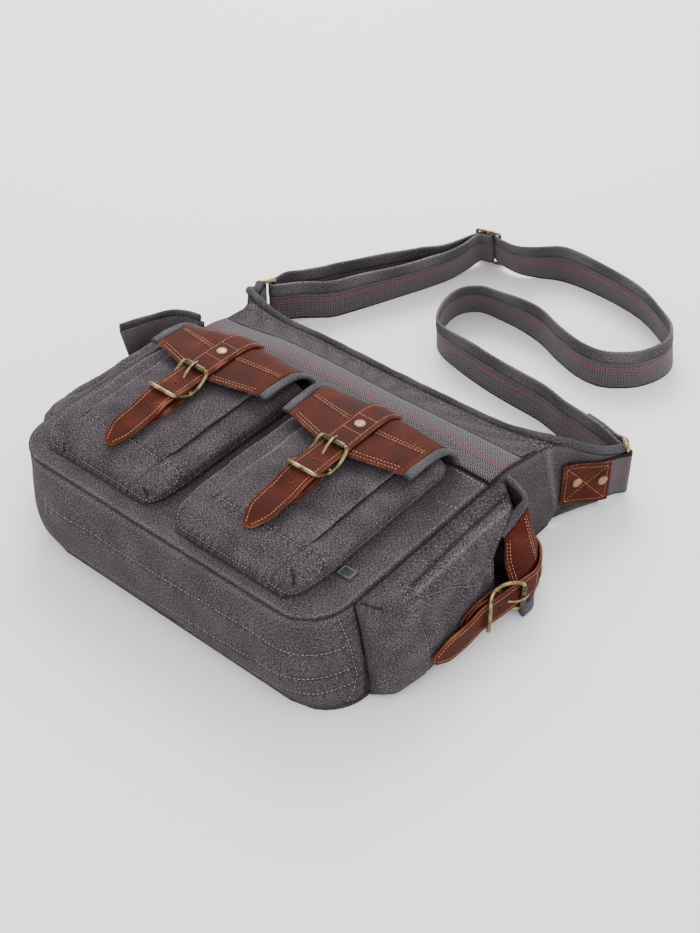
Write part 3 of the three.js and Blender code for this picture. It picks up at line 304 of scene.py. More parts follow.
def wall_mesh(grid, normals, thickness):
    """Two faces half a wall either side of a grid, joined round the edge by a rounded rim."""
    rows, columns = grid.shape[:2]
    half = thickness / 2
    index = np.arange(rows * columns).reshape(rows, columns)
    ring = border_of(index)
    flat = grid.reshape(-1, 3)
    inner_rows = np.clip(np.arange(rows), 1, rows - 2)
    inner_columns = np.clip(np.arange(columns), 1, columns - 2)
    inner = index[inner_rows][:, inner_columns].ravel()
    out = unit(flat[ring] - flat[inner[ring]])
    edge = flat[ring] + out * half * RIM_ROUND
    points = np.vstack([(grid + normals * half).reshape(-1, 3), (grid - normals * half).reshape(-1, 3), edge])
    a, b = index[:-1, :-1].ravel(), index[:-1, 1:].ravel()
    c, d = index[1:, 1:].ravel(), index[1:, :-1].ravel()
    under, last = rows * columns, 2 * rows * columns
    rim = last + np.arange(len(ring))
    p, q, r, s = ring, np.roll(ring, -1), rim, np.roll(rim, -1)
    faces = [np.stack([a, b, c, d], -1), np.stack([d, c, b, a], -1) + under,
             np.stack([p, r, s, q], -1), np.stack([r, p + under, q + under, s], -1)]
    return points, faces, ring


def cloth_piece(name, skin, thickness, material, nodes=(), edge=0.0):
    """A sheet of cloth or leather on a skin, a wall thick, with its edge made paler by the given shade, or
    darker, as painted shade, where that shade is below 0.
    """
    order = slice(None, None, skin.facing)
    points, faces, ring = wall_mesh(skin.points[:, order], skin.normals[:, order], thickness)
    cloth = skin.cloth[:, order].reshape(-1, 2)
    shade = skin.shade[:, order].ravel()
    put_mesh(name, points, faces, material, nodes, np.vstack([cloth, cloth, cloth[ring]]),
             np.concatenate([shade, shade, shade[ring] + edge]))


def axes_along(path, hint, closed=False):
    """At each point of a path: the hint made square to the tangent, and the tangent crossed with it."""
    ahead, behind = np.roll(path, -1, 0), np.roll(path, 1, 0)
    if not closed:
        ahead[-1], behind[0] = path[-1], path[0]
    tangent = unit(ahead - behind)
    a = np.broadcast_to(hint, path.shape)
    a = unit(a - (a * tangent).sum(-1, keepdims=True) * tangent)
    return a, np.cross(tangent, a)


def tube_mesh(rings, closed=False):
    """Faces between rings of points; each end that isn't joined to the other is closed by a fan."""
    count, size = rings.shape[:2]
    index = np.arange(count * size).reshape(count, size)
    if closed:
        index = np.vstack([index, index[:1]])
    side = np.roll(index, -1, 1)
    faces = [np.stack([index[:-1].ravel(), side[:-1].ravel(), side[1:].ravel(), index[1:].ravel()], -1)]
    points = rings.reshape(-1, 3)
    if not closed:
        first, last = np.full(size, len(points)), np.full(size, len(points) + 1)
        points = np.vstack([points, rings[0].mean(0), rings[-1].mean(0)])
        faces += [np.stack([side[0], index[0], first], -1), np.stack([index[-1], side[-1], last], -1)]
    return points, faces


def sweep_mesh(path, a, b, section, closed=False):
    """A section carried along a path, with its own two axes set along a and b."""
    section = np.broadcast_to(section, (len(path),) + np.asarray(section).shape[-2:])
    return tube_mesh(path[:, None] + a[:, None] * section[..., :1] + b[:, None] * section[..., 1:], closed)


def swept_piece(name, path, a, b, section, material, node, shade):
    """A solid piece with a section all along a path; its cloth lengths run along the path and round it."""
    points, faces = sweep_mesh(path, a, b, section)
    middle = section[len(section) // 2]
    around = run_of(np.vstack([middle, middle[:1]]))[:-1]
    cloth = np.stack(np.meshgrid(around, run_of(path)), -1)[..., ::-1].reshape(-1, 2) * METRES
    cloth = np.vstack([cloth, cloth[:1], cloth[:1]])
    put_mesh(name, points, faces, material, [node], cloth, np.append(shade.ravel(), [0, 0]))


def round_section(radius, sides=12, squash=1.0):
    """Points evenly round a circle, or an ellipse with its second axis squashed."""
    angle = 2 * np.pi * np.arange(sides) / sides
    return np.stack([radius * np.cos(angle), radius * squash * np.sin(angle)], -1)


def evenly(count):
    """Shares that part a length evenly, without its ends."""
    return np.linspace(0, 1, count + 2)[1:-1]


def round_rectangle(low, high, radius, steps, along_x, along_y):
    """A rectangle with round corners, anticlockwise from its top right, with spare points on its straight
    sides at the given shares of them."""
    quarter = np.linspace(0, np.pi / 2, steps + 1)
    centres = [(high[0] - radius, high[1] - radius), (low[0] + radius, high[1] - radius),
               (low[0] + radius, low[1] + radius), (high[0] - radius, low[1] + radius)]
    corners = []
    for k, (x, y) in enumerate(centres):
        turn = quarter + k * np.pi / 2
        corners.append(np.stack([x + radius * np.cos(turn), y + radius * np.sin(turn)], -1))
    parts = []
    for k, corner in enumerate(corners):
        share = along_y if k % 2 else along_x
        parts += [corner, mix(corner[-1], corners[(k + 1) % 4][0], share[:, None])]
    return np.vstack(parts)


# Materials


def linear(code):
    """A screen colour such as 6a3d31 as linear red, green, blue and alpha."""
    c = np.array([int(code[k:k + 2], 16) for k in (0, 2, 4)]) / 255
    c = np.where(c <= 0.04045, c / 12.92, ((c + 0.055) / 1.055) ** 2.4)
    return (*c.tolist(), 1.0)


def mixed(a, b, t):
    """A colour code between two others."""
    pair = [[int(c[k:k + 2], 16) for k in (0, 2, 4)] for c in (a, b)]
    return "".join(f"{round(mix(x, y, t)):02x}" for x, y in zip(*pair))


def add(tree, kind, inputs=(), output=0, stops=(), **settings):
    """Adds a node with its settings, what goes into it and its colour stops, and gives one of its outputs."""
    node = tree.nodes.new("ShaderNode" + kind)
    for key, value in settings.items():
        setattr(node, key, value)
    for key, value in (inputs if isinstance(inputs, dict) else dict(enumerate(inputs))).items():
        if isinstance(value, bpy.types.NodeSocket):
            tree.links.new(value, node.inputs[key])
        else:
            node.inputs[key].default_value = value
    for k, (place, colour) in enumerate(stops):
        elements = node.color_ramp.elements
        element = elements[k] if k < len(elements) else elements.new(place)
        element.position, element.color = place, linear(colour)
    return node.outputs[output] if node.outputs else None


def empty_material(name, slot):
    """A material whose tree is empty, and that tree."""
    material = bpy.data.materials.new(name)
    material["slot"] = slot
    material.use_nodes = True
    material.node_tree.nodes.clear()
    return material, material.node_tree


def product(tree, first, *others):
    """The product of sockets and numbers."""
    for other in others:
        first = add(tree, "Math", (first, other), operation="MULTIPLY")
    return first


def total(tree, first, *others):
    """The sum of sockets and numbers."""
    for other in others:
        first = add(tree, "Math", (first, other), operation="ADD")
    return first


def less(tree, first, second):
    """One socket or number less another."""
    return add(tree, "Math", (first, second), operation="SUBTRACT")


def about_middle(tree, value, reach):
    """A value from 0 to 1 turned into one about 0, times its reach."""
    return product(tree, less(tree, value, 0.5), reach)


def unevenness(vector, scale, detail, roughness):
    """A noise's settings. Its features are about one over scale metres across."""
    return {"Vector": vector, "Scale": scale, "Detail": detail, "Roughness": roughness}


def surface(tree, colour, roughness, relief=None, **constants):
    """The finished look: a colour, a roughness and constants, and a relief as (height, strength, metres)."""
    inputs = {"Base Color": colour, "Roughness": roughness, **constants}
    if relief:
        inputs["Normal"] = add(tree, "Bump", dict(zip(("Height", "Strength", "Distance"), relief)))
    add(tree, "OutputMaterial", {"Surface": add(tree, "BsdfPrincipled", inputs)})


# Slubs in the canvas: how many to the metre, along a yarn and across it
SLUBS = (560, 2000)


def canvas_material(name, dark, middle, light, faded_and_lit, slot="canvas"):
    """Washed cotton canvas, a plain weave of uneven yarns: dull, with pale slubs both ways, darker with
    painted shade in seams, creases and gaps, and paler on ridges and crests, partly faded and partly painted
    light.
    Its yarns are 0.5 mm, too fine to show, so the slubs are drawn about 0.5 mm wide and 2 mm long."""
    material, tree = empty_material(name, slot)
    cloth = add(tree, "UVMap", uv_map="cloth")
    weft = add(tree, "VectorMath", (cloth, (*SLUBS, 1.0)), operation="MULTIPLY")
    warp = add(tree, "VectorMath", (cloth, (*SLUBS[::-1], 1.0)), operation="MULTIPLY")
    across, along = (add(tree, "TexNoise", unevenness(way, 1.0, 2.0, 0.6)) for way in (weft, warp))
    yarn = product(tree, total(tree, across, along), 0.5)
    wash = add(tree, "TexNoise", unevenness(add(tree, "TexCoord", output="Object"), 22.0, 3.0, 0.5))
    shade = add(tree, "Attribute", output="Fac", attribute_name="shade")
    # The shade attribute brings painted shade, painted light and fading into the tone.
    tone = total(tree, about_middle(tree, yarn, 4.8), about_middle(tree, wash, 0.14), 0.5,
                 product(tree, shade, 0.5))
    colour = add(tree, "ValToRGB", (tone,), stops=[(0.0, dark), (0.42, middle), (0.68, light), (1.0, faded_and_lit)])
    fuzz = {"Sheen Weight": 0.05, "Sheen Roughness": 0.6, "Sheen Tint": linear("b9b4bd")}
    surface(tree, colour, 0.95, (yarn, 0.75, 0.0008), **fuzz, **{"IOR": 1.5, "Specular IOR Level": 0.1})
    return material


def web_material(name, light, dark, stripe, edge, edge_width=0.0022):
    """Heavy cotton webbing, herringbone woven: ribs 2.6 mm apart that turn back every 3.6 mm, with two broken
    stripes of coloured warp close beside its middle, and selvedges of another colour where they have a width.
    The cloth's second length runs across it."""
    rib_pitch, turn_back, stripe_out, stripe_half, dash_pitch = 0.0026, 0.0036, 0.0013, 0.00042, 0.0046
    half = WEB / 2 * METRES
    material, tree = empty_material(name, "webbing")
    cloth = add(tree, "UVMap", uv_map="cloth")
    along = add(tree, "SeparateXYZ", (cloth,))
    across = along.node.outputs[1]
    folded = total(tree, along, add(tree, "Math", (across, turn_back), operation="PINGPONG"))
    slant = add(tree, "Math", (product(tree, folded, 2 * np.pi / rib_pitch),), operation="SINE")
    turn = add(tree, "Math", (across, turn_back / 2), operation="PINGPONG")
    gully = add(tree, "Math", (turn, 0.0014), operation="GREATER_THAN")
    rib = less(tree, total(tree, product(tree, slant, 0.5), 0.5), product(tree, gully, 0.35))
    slub = add(tree, "VectorMath", (cloth, (500, 900, 1)), operation="MULTIPLY")
    streaks = add(tree, "TexNoise", unevenness(slub, 1.0, 2.0, 0.6))
    tone = total(tree, product(tree, rib, 0.75), about_middle(tree, streaks, 0.7))
    stops = [(0.05, dark), (0.5, mixed(dark, light, 0.6)), (0.95, light)]
    colour = add(tree, "ValToRGB", (tone,), stops=stops)
    from_middle = add(tree, "Math", (less(tree, across, half),), operation="ABSOLUTE")
    from_stripe = add(tree, "Math", (less(tree, from_middle, stripe_out),), operation="ABSOLUTE")
    on_stripe = add(tree, "Math", (from_stripe, stripe_half), operation="LESS_THAN")
    beat = add(tree, "Math", (product(tree, along, 2 * np.pi / dash_pitch),), operation="SINE")
    dash = add(tree, "Math", (beat, -0.35), operation="GREATER_THAN")
    dyed = {0: product(tree, on_stripe, dash, 0.85), 6: colour, 7: linear(stripe)}
    colour = add(tree, "Mix", dyed, 2, data_type="RGBA")
    selvedge = add(tree, "Math", (from_middle, half - edge_width), operation="GREATER_THAN")
    colour = add(tree, "Mix", {0: selvedge, 6: colour, 7: linear(edge)}, 2, data_type="RGBA")
    constants = {"Sheen Weight": 0.15, "IOR": 1.5, "Specular IOR Level": 0.25}
    surface(tree, colour, 0.9, (tone, 0.6, 0.0006), **constants)
    return material


def leather_material():
    """Oiled pull-up cowhide, cut from a side: brown, paler where it bends, with a rough pale flesh edge.
    Its grain is 0.5 to 1 mm, with a soft gloss from the wax."""
    material, tree = empty_material("oiled_cowhide", "leather")
    where = add(tree, "TexCoord", output="Object")
    pull = add(tree, "TexNoise", unevenness(where, 42.0, 5.0, 0.6))
    stretched = add(tree, "VectorMath", (where, (60, 260, 120)), operation="MULTIPLY")
    streak = add(tree, "TexNoise", unevenness(stretched, 1.0, 3.0, 0.6))
    grain = add(tree, "TexVoronoi", {"Vector": where, "Scale": 1100.0})
    fleck = add(tree, "TexNoise", unevenness(where, 700.0, 3.0, 0.6))
    shade = add(tree, "Attribute", output="Fac", attribute_name="shade")
    # The shade attribute adds painted shade in seam grooves, below a flap's lapped edge and in the strap's
    # holes, and a painted highlight on the lap's step.
    tone = total(tree, about_middle(tree, pull, 0.3), about_middle(tree, streak, 0.2), 0.5,
                 about_middle(tree, fleck, 0.35), product(tree, shade, 0.5))
    browns = [(0.0, "1c0a07"), (0.35, "37160e"), (0.62, "451c13"), (0.85, "5a2e21"), (1.0, "784a38")]
    colour = add(tree, "ValToRGB", (tone,), stops=browns)
    dulled = {"Value": tone, "From Min": 0.2, "From Max": 1.0, "To Min": 0.5, "To Max": 0.68}
    height = total(tree, product(tree, grain, 0.7), product(tree, fleck, 0.6))
    constants = {"IOR": 1.5, "Specular IOR Level": 0.06}
    surface(tree, colour, add(tree, "MapRange", dulled), (height, 0.35, 0.0004), **constants)
    return material


def brass_material(name, slot, bright, middle, tarnish, roughness):
    """Cast and tumbled brass with an antique finish: bright and tarnished in uneven patches, and paler where
    its shade is higher.
    """
    material, tree = empty_material(name, slot)
    where = add(tree, "TexCoord", output="Object")
    patch = add(tree, "TexNoise", unevenness(where, 160.0, 4.0, 0.65))
    speck = add(tree, "TexNoise", unevenness(where, 900.0, 2.0, 0.6))
    shade = add(tree, "Attribute", output="Fac", attribute_name="shade")
    tone = total(tree, patch, about_middle(tree, speck, 0.5), product(tree, shade, 0.4))
    colour = add(tree, "ValToRGB", (tone,), stops=[(0.25, tarnish), (0.5, middle), (0.75, bright)])
    rubbed = {"Value": tone, "From Min": 0.3, "From Max": 0.8, "To Min": roughness + 0.2,
              "To Max": roughness - 0.06}
    surface(tree, colour, add(tree, "MapRange", rubbed), (speck, 0.15, 0.0002), Metallic=1.0)
    return material


def thread_material(name, slot, pale, deep):
    """Twisted sewing thread, waxed: a slight gloss, with darker and paler lengths."""
    material, tree = empty_material(name, slot)
    tone = add(tree, "TexNoise", unevenness(add(tree, "TexCoord", output="Object"), 240.0, 2.0, 0.5))
    colour = add(tree, "ValToRGB", (tone,), stops=[(0.3, deep), (0.65, pale)])
    surface(tree, colour, 0.7, **{"IOR": 1.5, "Specular IOR Level": 0.3})
    return material


CANVAS_CLOTH = canvas_material("washed_canvas", "1c181a", "332d30", "4a4347", "736b71")
BINDING_CLOTH = canvas_material("canvas_binding", "1b191b", "323032", "444244", "636063", "binding")
COVER_CLOTH = canvas_material("strap_cover_canvas", "232122", "3d3a3c", "524e51", "726d71", "webbing")
BAND_WEB = web_material("body_webbing", "7a6f74", "120e11", "8f1739", "4a484e", 0.0)
STRAP_WEB = web_material("strap_webbing", "7c7075", "0f0c0e", "8f1739", "0d080a")
COWHIDE = leather_material()
BRASS = brass_material("antique_brass", "brass", "a08c66", "6d5d40", "352d1d", 0.36)
DARK_BRASS = brass_material("dark_brass", "brass", "7a7156", "4e4936", "211e17", 0.34)
CAP_BRASS = brass_material("rivet_brass", "copper", "a3836a", "7e634e", "4c3a2d", 0.5)
CANVAS_THREAD = thread_material("grey_cotton_thread", "canvas", "a09ca2", "6f6c72")
LEATHER_THREAD = thread_material("ochre_cotton_thread", "leather", "c9966f", "95603f")
DARK_THREAD = thread_material("charcoal_thread", "webbing", "4a474b", "29272b")
TAG_WEAVE = thread_material("tag_weave", "webbing", "343c39", "222826")


# Sewing and rivets

# Sewn thread: the length that shows, the pitch from one stitch to the next, and the thread's radius
STITCH = {
    "front": (2.4, 3.6, 0.30), "gusset": (2.4, 3.6, 0.28), "ruffle": (2.4, 3.4, 0.30),
    "pocket": (2.2, 3.2, 0.25), "flap": (2.2, 2.9, 0.28), "strap": (2.1, 2.8, 0.28),
    "ear": (2.2, 2.9, 0.22), "cover": (2.6, 4.2, 0.30), "tag": (2.8, 2.6, 0.24),
}

# One stitch: its rings of points, as shares of its length, how thick it is there, and how far it stands out
STITCH_SIDES = 5
STITCH_PLACES = np.array([-0.5, -0.3, 0.3, 0.5])
STITCH_THICK = np.array([0.45, 1.0, 1.0, 0.45])
STITCH_SINK = np.array([-0.9, 0.15, 0.15, -0.9])

# Seams: the groove's depth and width, the puckers' height and pitch, and how much painted shade darkens the
# groove
GROOVE = {
    "quilting": (0.7, 1.6, 0.35, 9.0, 0.35), "corner": (1.2, 1.4, 0.4, 8.0, 1.0),
    "cross": (0.55, 1.1, 0.35, 7.5, 0.45), "edge": (0.35, 1.1, 0.35, 7.5, 0.45),
    "dart": (1.2, 0.9, 0.3, 6.0, 1.5), "flap": (0.28, 0.8, 0.06, 5.0, 0.35),
    "ear": (0.25, 0.8, 0.05, 6.0, 0.4),
}


def stitches(name, lines, material, size):
    """Sewn thread: a short capsule every pitch along each line of points, its two ends sunk in the cloth."""
    length, pitch, radius = size
    sides, rings = STITCH_SIDES, len(STITCH_PLACES)
    turn = 2 * np.pi * np.arange(sides) / sides
    capsules = []
    for points, normals in lines:
        run = run_of(points)
        count = max(int(run[-1] / pitch), 1)
        middle = (np.arange(count) + 0.5) * run[-1] / count
        at = middle[:, None] + STITCH_PLACES * length
        where = np.stack([np.interp(at, run, points[:, k]) for k in range(3)], -1)
        up = unit(np.stack([np.interp(at, run, normals[:, k]) for k in range(3)], -1))
        along = unit(where[:, -1:] - where[:, :1])
        across = unit(np.cross(up, along))
        up = np.cross(along, across)
        centre = where + up * (STITCH_SINK * radius)[:, None]
        ring = across[:, :, None] * np.cos(turn)[:, None] + up[:, :, None] * np.sin(turn)[:, None]
        capsules.append(centre[:, :, None] + ring * (STITCH_THICK * radius)[:, None, None])
    points = np.concatenate(capsules).reshape(-1, 3)
    start = np.arange(0, len(points), rings * sides)[:, None, None]
    this, following = np.arange(sides), (np.arange(sides) + 1) % sides
    low = np.arange(rings - 1)[:, None] * sides
    quads = np.stack([low + this, low + following, low + sides + following, low + sides + this], -1)
    near_end = start[:, 0] + this[::-1]
    far_end = start[:, 0] + (rings - 1) * sides + this
    faces = [(start + quads.reshape(1, -1, 4)).reshape(-1, 4), near_end, far_end]
    put_mesh(name, points, faces, material)


RIVET_SIDES = 28
RIVET_PROFILE = [(5.0, 0.0), (5.05, 0.25), (4.95, 0.6), (4.5, 0.95), (3.9, 1.15), (2.6, 1.32), (1.2, 1.4),
                 (0.2, 1.42)]


def rivet_cap(name, axes, origin, node):
    """A domed cap: its profile of (radius, height) pairs carried round its axis, then set in place."""
    profile = np.asarray(RIVET_PROFILE, float)
    angle = 2 * np.pi * np.arange(RIVET_SIDES) / RIVET_SIDES
    radius, height = profile[:, :1], np.broadcast_to(profile[:, 1:], (len(profile), RIVET_SIDES))
    points, faces = tube_mesh(np.stack([radius * np.cos(angle), radius * np.sin(angle), height], -1))
    # The cap is paler toward the top of its dome.
    shade = np.append(np.repeat(profile[:, 1] * 0.3, RIVET_SIDES), [0, 0.3])
    put_mesh(name, points @ axes.T + origin, faces, CAP_BRASS, [node], shade=shade)


# The bag's outlines


def front_height(x, y):
    """The front panel's height over the ground: the bag's depth, less the droop at the mouth and the sag at
    the left, plus a slight crown."""
    inward = np.maximum(0, 1 - (x / HALF) ** 2)
    droop = (12 + 5 * inward) * ramp(y, RIM - 60, RIM)
    sag = 12 * ramp(-x, HALF * 0.4, HALF) * ramp(y, 0, RIM - 60) * (1 - 0.5 * ramp(y, RIM - 40, RIM))
    return DEPTH - droop - sag + 2 * inward * np.maximum(0, 1 - (y / RIM) ** 2)


def under_front(x, y):
    """The underside of the front panel, less the room between two layers."""
    return front_height(x, np.minimum(y, RIM)) - CANVAS - LAYER


def corner_inset(y, radius):
    """How far a round bottom corner draws the side in at a height: its radius less its half chord there."""
    rise = np.maximum(BASE + radius - y, 0)
    return radius - np.sqrt(np.maximum(radius ** 2 - rise ** 2, 0))


def back_half(y, end):
    """Half the back panel's width at a height on one side."""
    return HALF + mix(end["low"], end["high"], ramp(y, -40, RIM - 30)) - corner_inset(y, end["corner"])


def side_out(y, z, end):
    """How far the side stands out from its front seam, at a height up the bag and over the ground."""
    share = np.clip(z / DEPTH, 0, 1)
    return mix(back_half(y, end) - HALF, -corner_inset(y, FRONT_CORNER), share) + SIDE_BULGE * np.interp(
        share, BULGE_UP, BULGE_OUT)


BAND_ROWS = np.linspace(BAND_LOW, BAND_TOP, 3)
PANEL_ROWS = np.concatenate([BASE + 300 * np.array([0, 0.008, 0.03, 0.075, 0.14, 0.25, 0.4, 0.55]), BAND_ROWS,
                             BAND_TOP + LAYER + RUFFLE * np.array([0.5, 1.0]), [RIM]])

# Ears: share of the ear's length, of its flare for its top and low edge, of the bag's depth, and of the rim's
# room
EAR_ROWS = np.array([
    (0.00, 0.05, 0.38, 0.854, 1.00), (0.10, 0.14, 0.38, 0.844, 1.00), (0.28, 0.37, 0.37, 0.802, 1.00),
    (0.50, 0.56, 0.56, 0.688, 1.00), (0.76, 0.79, 0.79, 0.583, 0.25), (1.00, 1.00, 1.00, 0.542, 0.00)])


def ear_edge(end, row):
    """The low and top corners of an ear at one of its rows."""
    along, out_top, out_low, top, low = row
    y = RIM + end["length"] * along
    floor = CANVAS + GAP if along == 0 else mix(TAB_LOW, RIM_ROOM, low)
    height = min(top * DEPTH, under_front(end["side"] * HALF, RIM))
    out = [end["side"] * (HALF + 40 * share - CANVAS / 2) for share in (out_low, out_top)]
    return np.array([out[0], y, floor]), np.array([out[1], y, height])


# The bag's panels and trim

# How far the front panel's top corners stand up and out, and the two short sewn rows at its right side
CORNER_RISE, CORNER_OUT = 14, 7
SIDE_ROWS = [((152.6, 25.3), (171.0, 28.1)), ((140.9, 65.6), (171.5, 64.4))]


def front_panel():
    """The front: columns across, rows up, at the front height, with soft uneven ground, corners that stand up
    under the ears, painted shade in the seam round its edge, and a line of painted shadow under the webbing's
    right end, where it is left open."""
    foot = BASE + (RIM - BASE) * np.array([0, 0.004, 0.008, 0.018, 0.03])
    y = np.concatenate([foot, np.linspace(BASE + 12, RIM, 108)])
    column = np.linspace(-1, 1, 133)
    row = y[:, None] + 0 * column
    half = (HALF - corner_inset(y, FRONT_CORNER))[:, None]
    x = column * half
    corner = ramp(np.abs(x), HALF * 0.72, HALF * 0.98) * ramp(row, RIM - 8, RIM)
    rise = row + CORNER_RISE * corner
    x = x + CORNER_OUT * np.sign(x) * corner * ramp(np.abs(column), 0.94, 1)
    grid = np.stack([x, rise, front_height(x, row) - CANVAS / 2], -1)
    skin = Skin(grid)
    edge = np.minimum(half - np.abs(x), rise - BASE)
    flat_way = (1, 1, 0)
    uneven = ripples(grid, 3, 95, stretch=flat_way) * 0.45 + ripples(grid, 4, 38, stretch=flat_way) * 0.16
    # Painted shade darkens the seam along the panel's edge, with a paler line just inside it.
    shade = 0.07 * ripples(grid, 5, 26) + 0.3 * bell(edge - 2.6, 1.2) - 0.7 * bell(edge, 0.7)
    skin.raised(uneven * ramp(edge, 1, 14) * (1 - ramp(row, 55, 70)) - 0.9 * bell(edge, 1.6), shade)
    # Painted shadow: a dark line under the webbing band's right end, where the band stands open.
    skin.shade = skin.shade - 2.5 * bell(row - (BAND_LOW - 1.6), 1.3) * ramp(x, 118, 128)
    sewn = []
    for ends in SIDE_ROWS:
        across, up = np.array(ends).T
        rows = np.interp(up, y, np.arange(len(y)))
        columns = np.interp(across / HALF, column, np.arange(len(column)))
        sewn.append(skin.line(np.stack([rows, columns], -1), CANVAS / 2))
    stitches("front_stitching", sewn, CANVAS_THREAD, STITCH["front"])
    cloth_piece("front_canvas", skin, CANVAS, CANVAS_CLOTH, ["front_panel"])


def back_panel():
    """The back: flat on the ground, with the bag's plan outline."""
    y = np.linspace(BASE, RIM, 60)
    share = np.linspace(-1, 1, 61)
    left, right = (back_half(y[:, None], ENDS[side]) for side in ("left", "right"))
    half = np.where(share < 0, left, right)
    grid = np.stack([share * half, y[:, None] + 0 * share, np.full(half.shape, CANVAS / 2)], -1)
    cloth_piece("back_canvas", Skin(grid[:, ::-1]), CANVAS * 0.96, CANVAS_CLOTH, ["back_panel"])


def gusset_rows(end):
    """One half of the gusset, from the ear's tip down the side and round to the middle of the base. Each row
    has its low corner, its top corner, which way it bulges and how far."""
    half, seat, side = CANVAS / 2, CANVAS + 3 * GAP, end["side"]
    rows = [(*ear_edge(end, row), (side, 0, 0), 0.0) for row in EAR_ROWS[::-1]]
    x = side * HALF
    straight = PANEL_ROWS[(PANEL_ROWS < RIM) & (PANEL_ROWS > BASE + end["corner"])]
    for y in straight[::-1]:
        low = (side * (back_half(y, end) - half), y, seat)
        rows.append((low, (x - side * half, y, under_front(x, y)), (side, 0, 0), SIDE_BULGE))

    def around(radius, spread, angle):
        """A point on a round bottom corner, as its x and its height."""
        return (side * (HALF + spread - radius + (radius - half) * np.cos(angle)),
                BASE + radius - (radius - half) * np.sin(angle))
    for share in np.linspace(0, 1, 6):
        angle = share * np.pi / 2
        top = around(FRONT_CORNER, 0, angle)
        low = (*around(end["corner"], end["low"], angle), seat)
        out = (side * np.cos(angle), -np.sin(angle), 0)
        rows.append((low, (*top, under_front(*top)), out, mix(SIDE_BULGE, BASE_BULGE, share)))
    for share in (0.66, 0.33, 0):
        top = side * share * (HALF - FRONT_CORNER)
        low = (side * share * (HALF + end["low"] - end["corner"]), BASE + half, seat)
        rows.append((low, (top, BASE + half, under_front(top, BASE)), (0, -1, 0), BASE_BULGE))
    return rows


def on_gusset(skin, axis, along, height):
    """The row and column numbers of a place on the gusset, from its x on the base, where the axis is 0, or
    its y on the right side, where the axis is 1, and its height over the ground."""
    middle = len(skin.columns) // 2
    first, last = (middle + 10, len(skin.columns)) if axis else (int(middle * 0.4), int(middle * 1.6))
    grid = skin.points[:, first:last]
    low, high = grid[0, :, 2], grid[-1, :, 2]
    level = np.clip((height - low) / (high - low) * (len(grid) - 1), 0, len(grid) - 1.001)
    under = level.astype(int)
    part = (level - under)[:, None]
    columns = np.arange(grid.shape[1])
    line = grid[under, columns] * (1 - part) + grid[under + 1, columns] * part
    place = np.interp(along, np.maximum.accumulate(line[:, axis]), columns)
    row = np.interp(place, columns, level)
    return (np.interp(row, np.arange(len(skin.rows)), skin.rows),
            np.interp(place + first, np.arange(len(skin.columns)), skin.columns))


# The gusset's sewn lines: (x, height) places on the base, then (y, height) places on the right side
QUILTING = [([(-138, 57), (-60, 58), (60, 61), (150, 63)], [(-118, 63)]),
            ([(-110, 14), (-40, 21), (60, 30), (150, 38)], [(-117, 41)]),
            ([(20, 3), (90, 9), (150, 21)], [(-119, 26)]),
            ([], [(-122, 93), (-117, 60), (-116, 30), (-126, 5)])]
CORNER_SEAM = [(-104, 94), (-105, 50), (-109, 5)]

# How much higher the ears' tops stand at their rows near the mouth
EAR_LIFT = (1.0, 3.5, 4.5, 1.5)


def gusset():
    """The strip round the sides and base, with its quilted base, its corner seams and its ears."""
    rows = gusset_rows(ENDS["left"]) + gusset_rows(ENDS["right"])[::-1][1:]
    low, top, out = (np.array([np.asarray(row[k], float) for row in rows]) for k in (0, 1, 2))
    bulge = np.array([row[3] for row in rows])
    lift = np.zeros(len(rows))
    lift[2:6], lift[-6:-2] = EAR_LIFT, EAR_LIFT[::-1]
    top[:, 2] += lift
    top[:, 0] += np.sign(top[:, 0]) * lift * 0.3
    rough = mix(low, top, BULGE_UP[:, None, None]) + out * (bulge * BULGE_OUT[:, None])[..., None]
    skin = Skin(rough, 2.6, soft=(6.0, 5.0))
    p = skin.points
    edge = np.minimum(skin.rows, 4 - skin.rows)[:, None] * 24
    uneven = ripples(p, 11, 80) * 0.8 + ripples(p, 12, 34) * 0.3
    # Painted shade darkens the seams along the gusset's edges, with a paler line beside them.
    shade = 0.07 * ripples(p, 13, 30) - 0.05 + 0.25 * bell(edge - 3, 2) - 0.4 * bell(edge, 0.8)
    skin.raised(uneven * ramp(edge, 0.5, 14), shade)
    # A raised crease across the right ear, made paler.
    crease = bell(p[..., 1] - (RIM + 9 - 0.08 * p[..., 2]), 2.6) * ramp(p[..., 0], 0, 50)
    crease = crease * ramp(p[..., 2], 10, 30)
    skin.raised(0.9 * crease, 0.5 * crease)
    sewn = []
    for on_base, on_side in QUILTING:
        numbers = []
        if on_base:
            on_base = take(np.array(on_base, float), np.linspace(0, len(on_base) - 1, 25), 0)
            numbers = [on_gusset(skin, 0, *place) for place in on_base]
        numbers += [on_gusset(skin, 1, *place) for place in on_side]
        sewn.append(numbers)
        skin.seam(numbers[::3] + numbers[-1:] if len(on_base) else numbers, *GROOVE["quilting"])
    skin.seam([on_gusset(skin, 1, *place) for place in CORNER_SEAM], *GROOVE["corner"])
    cloth_piece("gusset_canvas", skin, CANVAS, CANVAS_CLOTH, ["gusset"])
    lines = [skin.line(numbers, CANVAS / 2) for numbers in sewn]
    stitches("gusset_stitching", lines, CANVAS_THREAD, STITCH["gusset"])


def webbing_band():
    """The wide webbing under the mouth, flat on the front panel."""
    x, y = np.meshgrid(np.linspace(-1, 1, 141) * (HALF - GAP), np.linspace(BAND_LOW, BAND_TOP, 19))
    uneven = 0.18 * ripples(np.stack([x, y, 0 * x], -1), 21, 60)
    skin = Skin(np.stack([x, y, front_height(x, y) + LAYER + 1.0 + uneven], -1))
    skin.cloth = np.stack([x, y - BAND_LOW], -1) * METRES
    cloth_piece("band_webbing", skin, 1.9, BAND_WEB, ["webbing_band"])


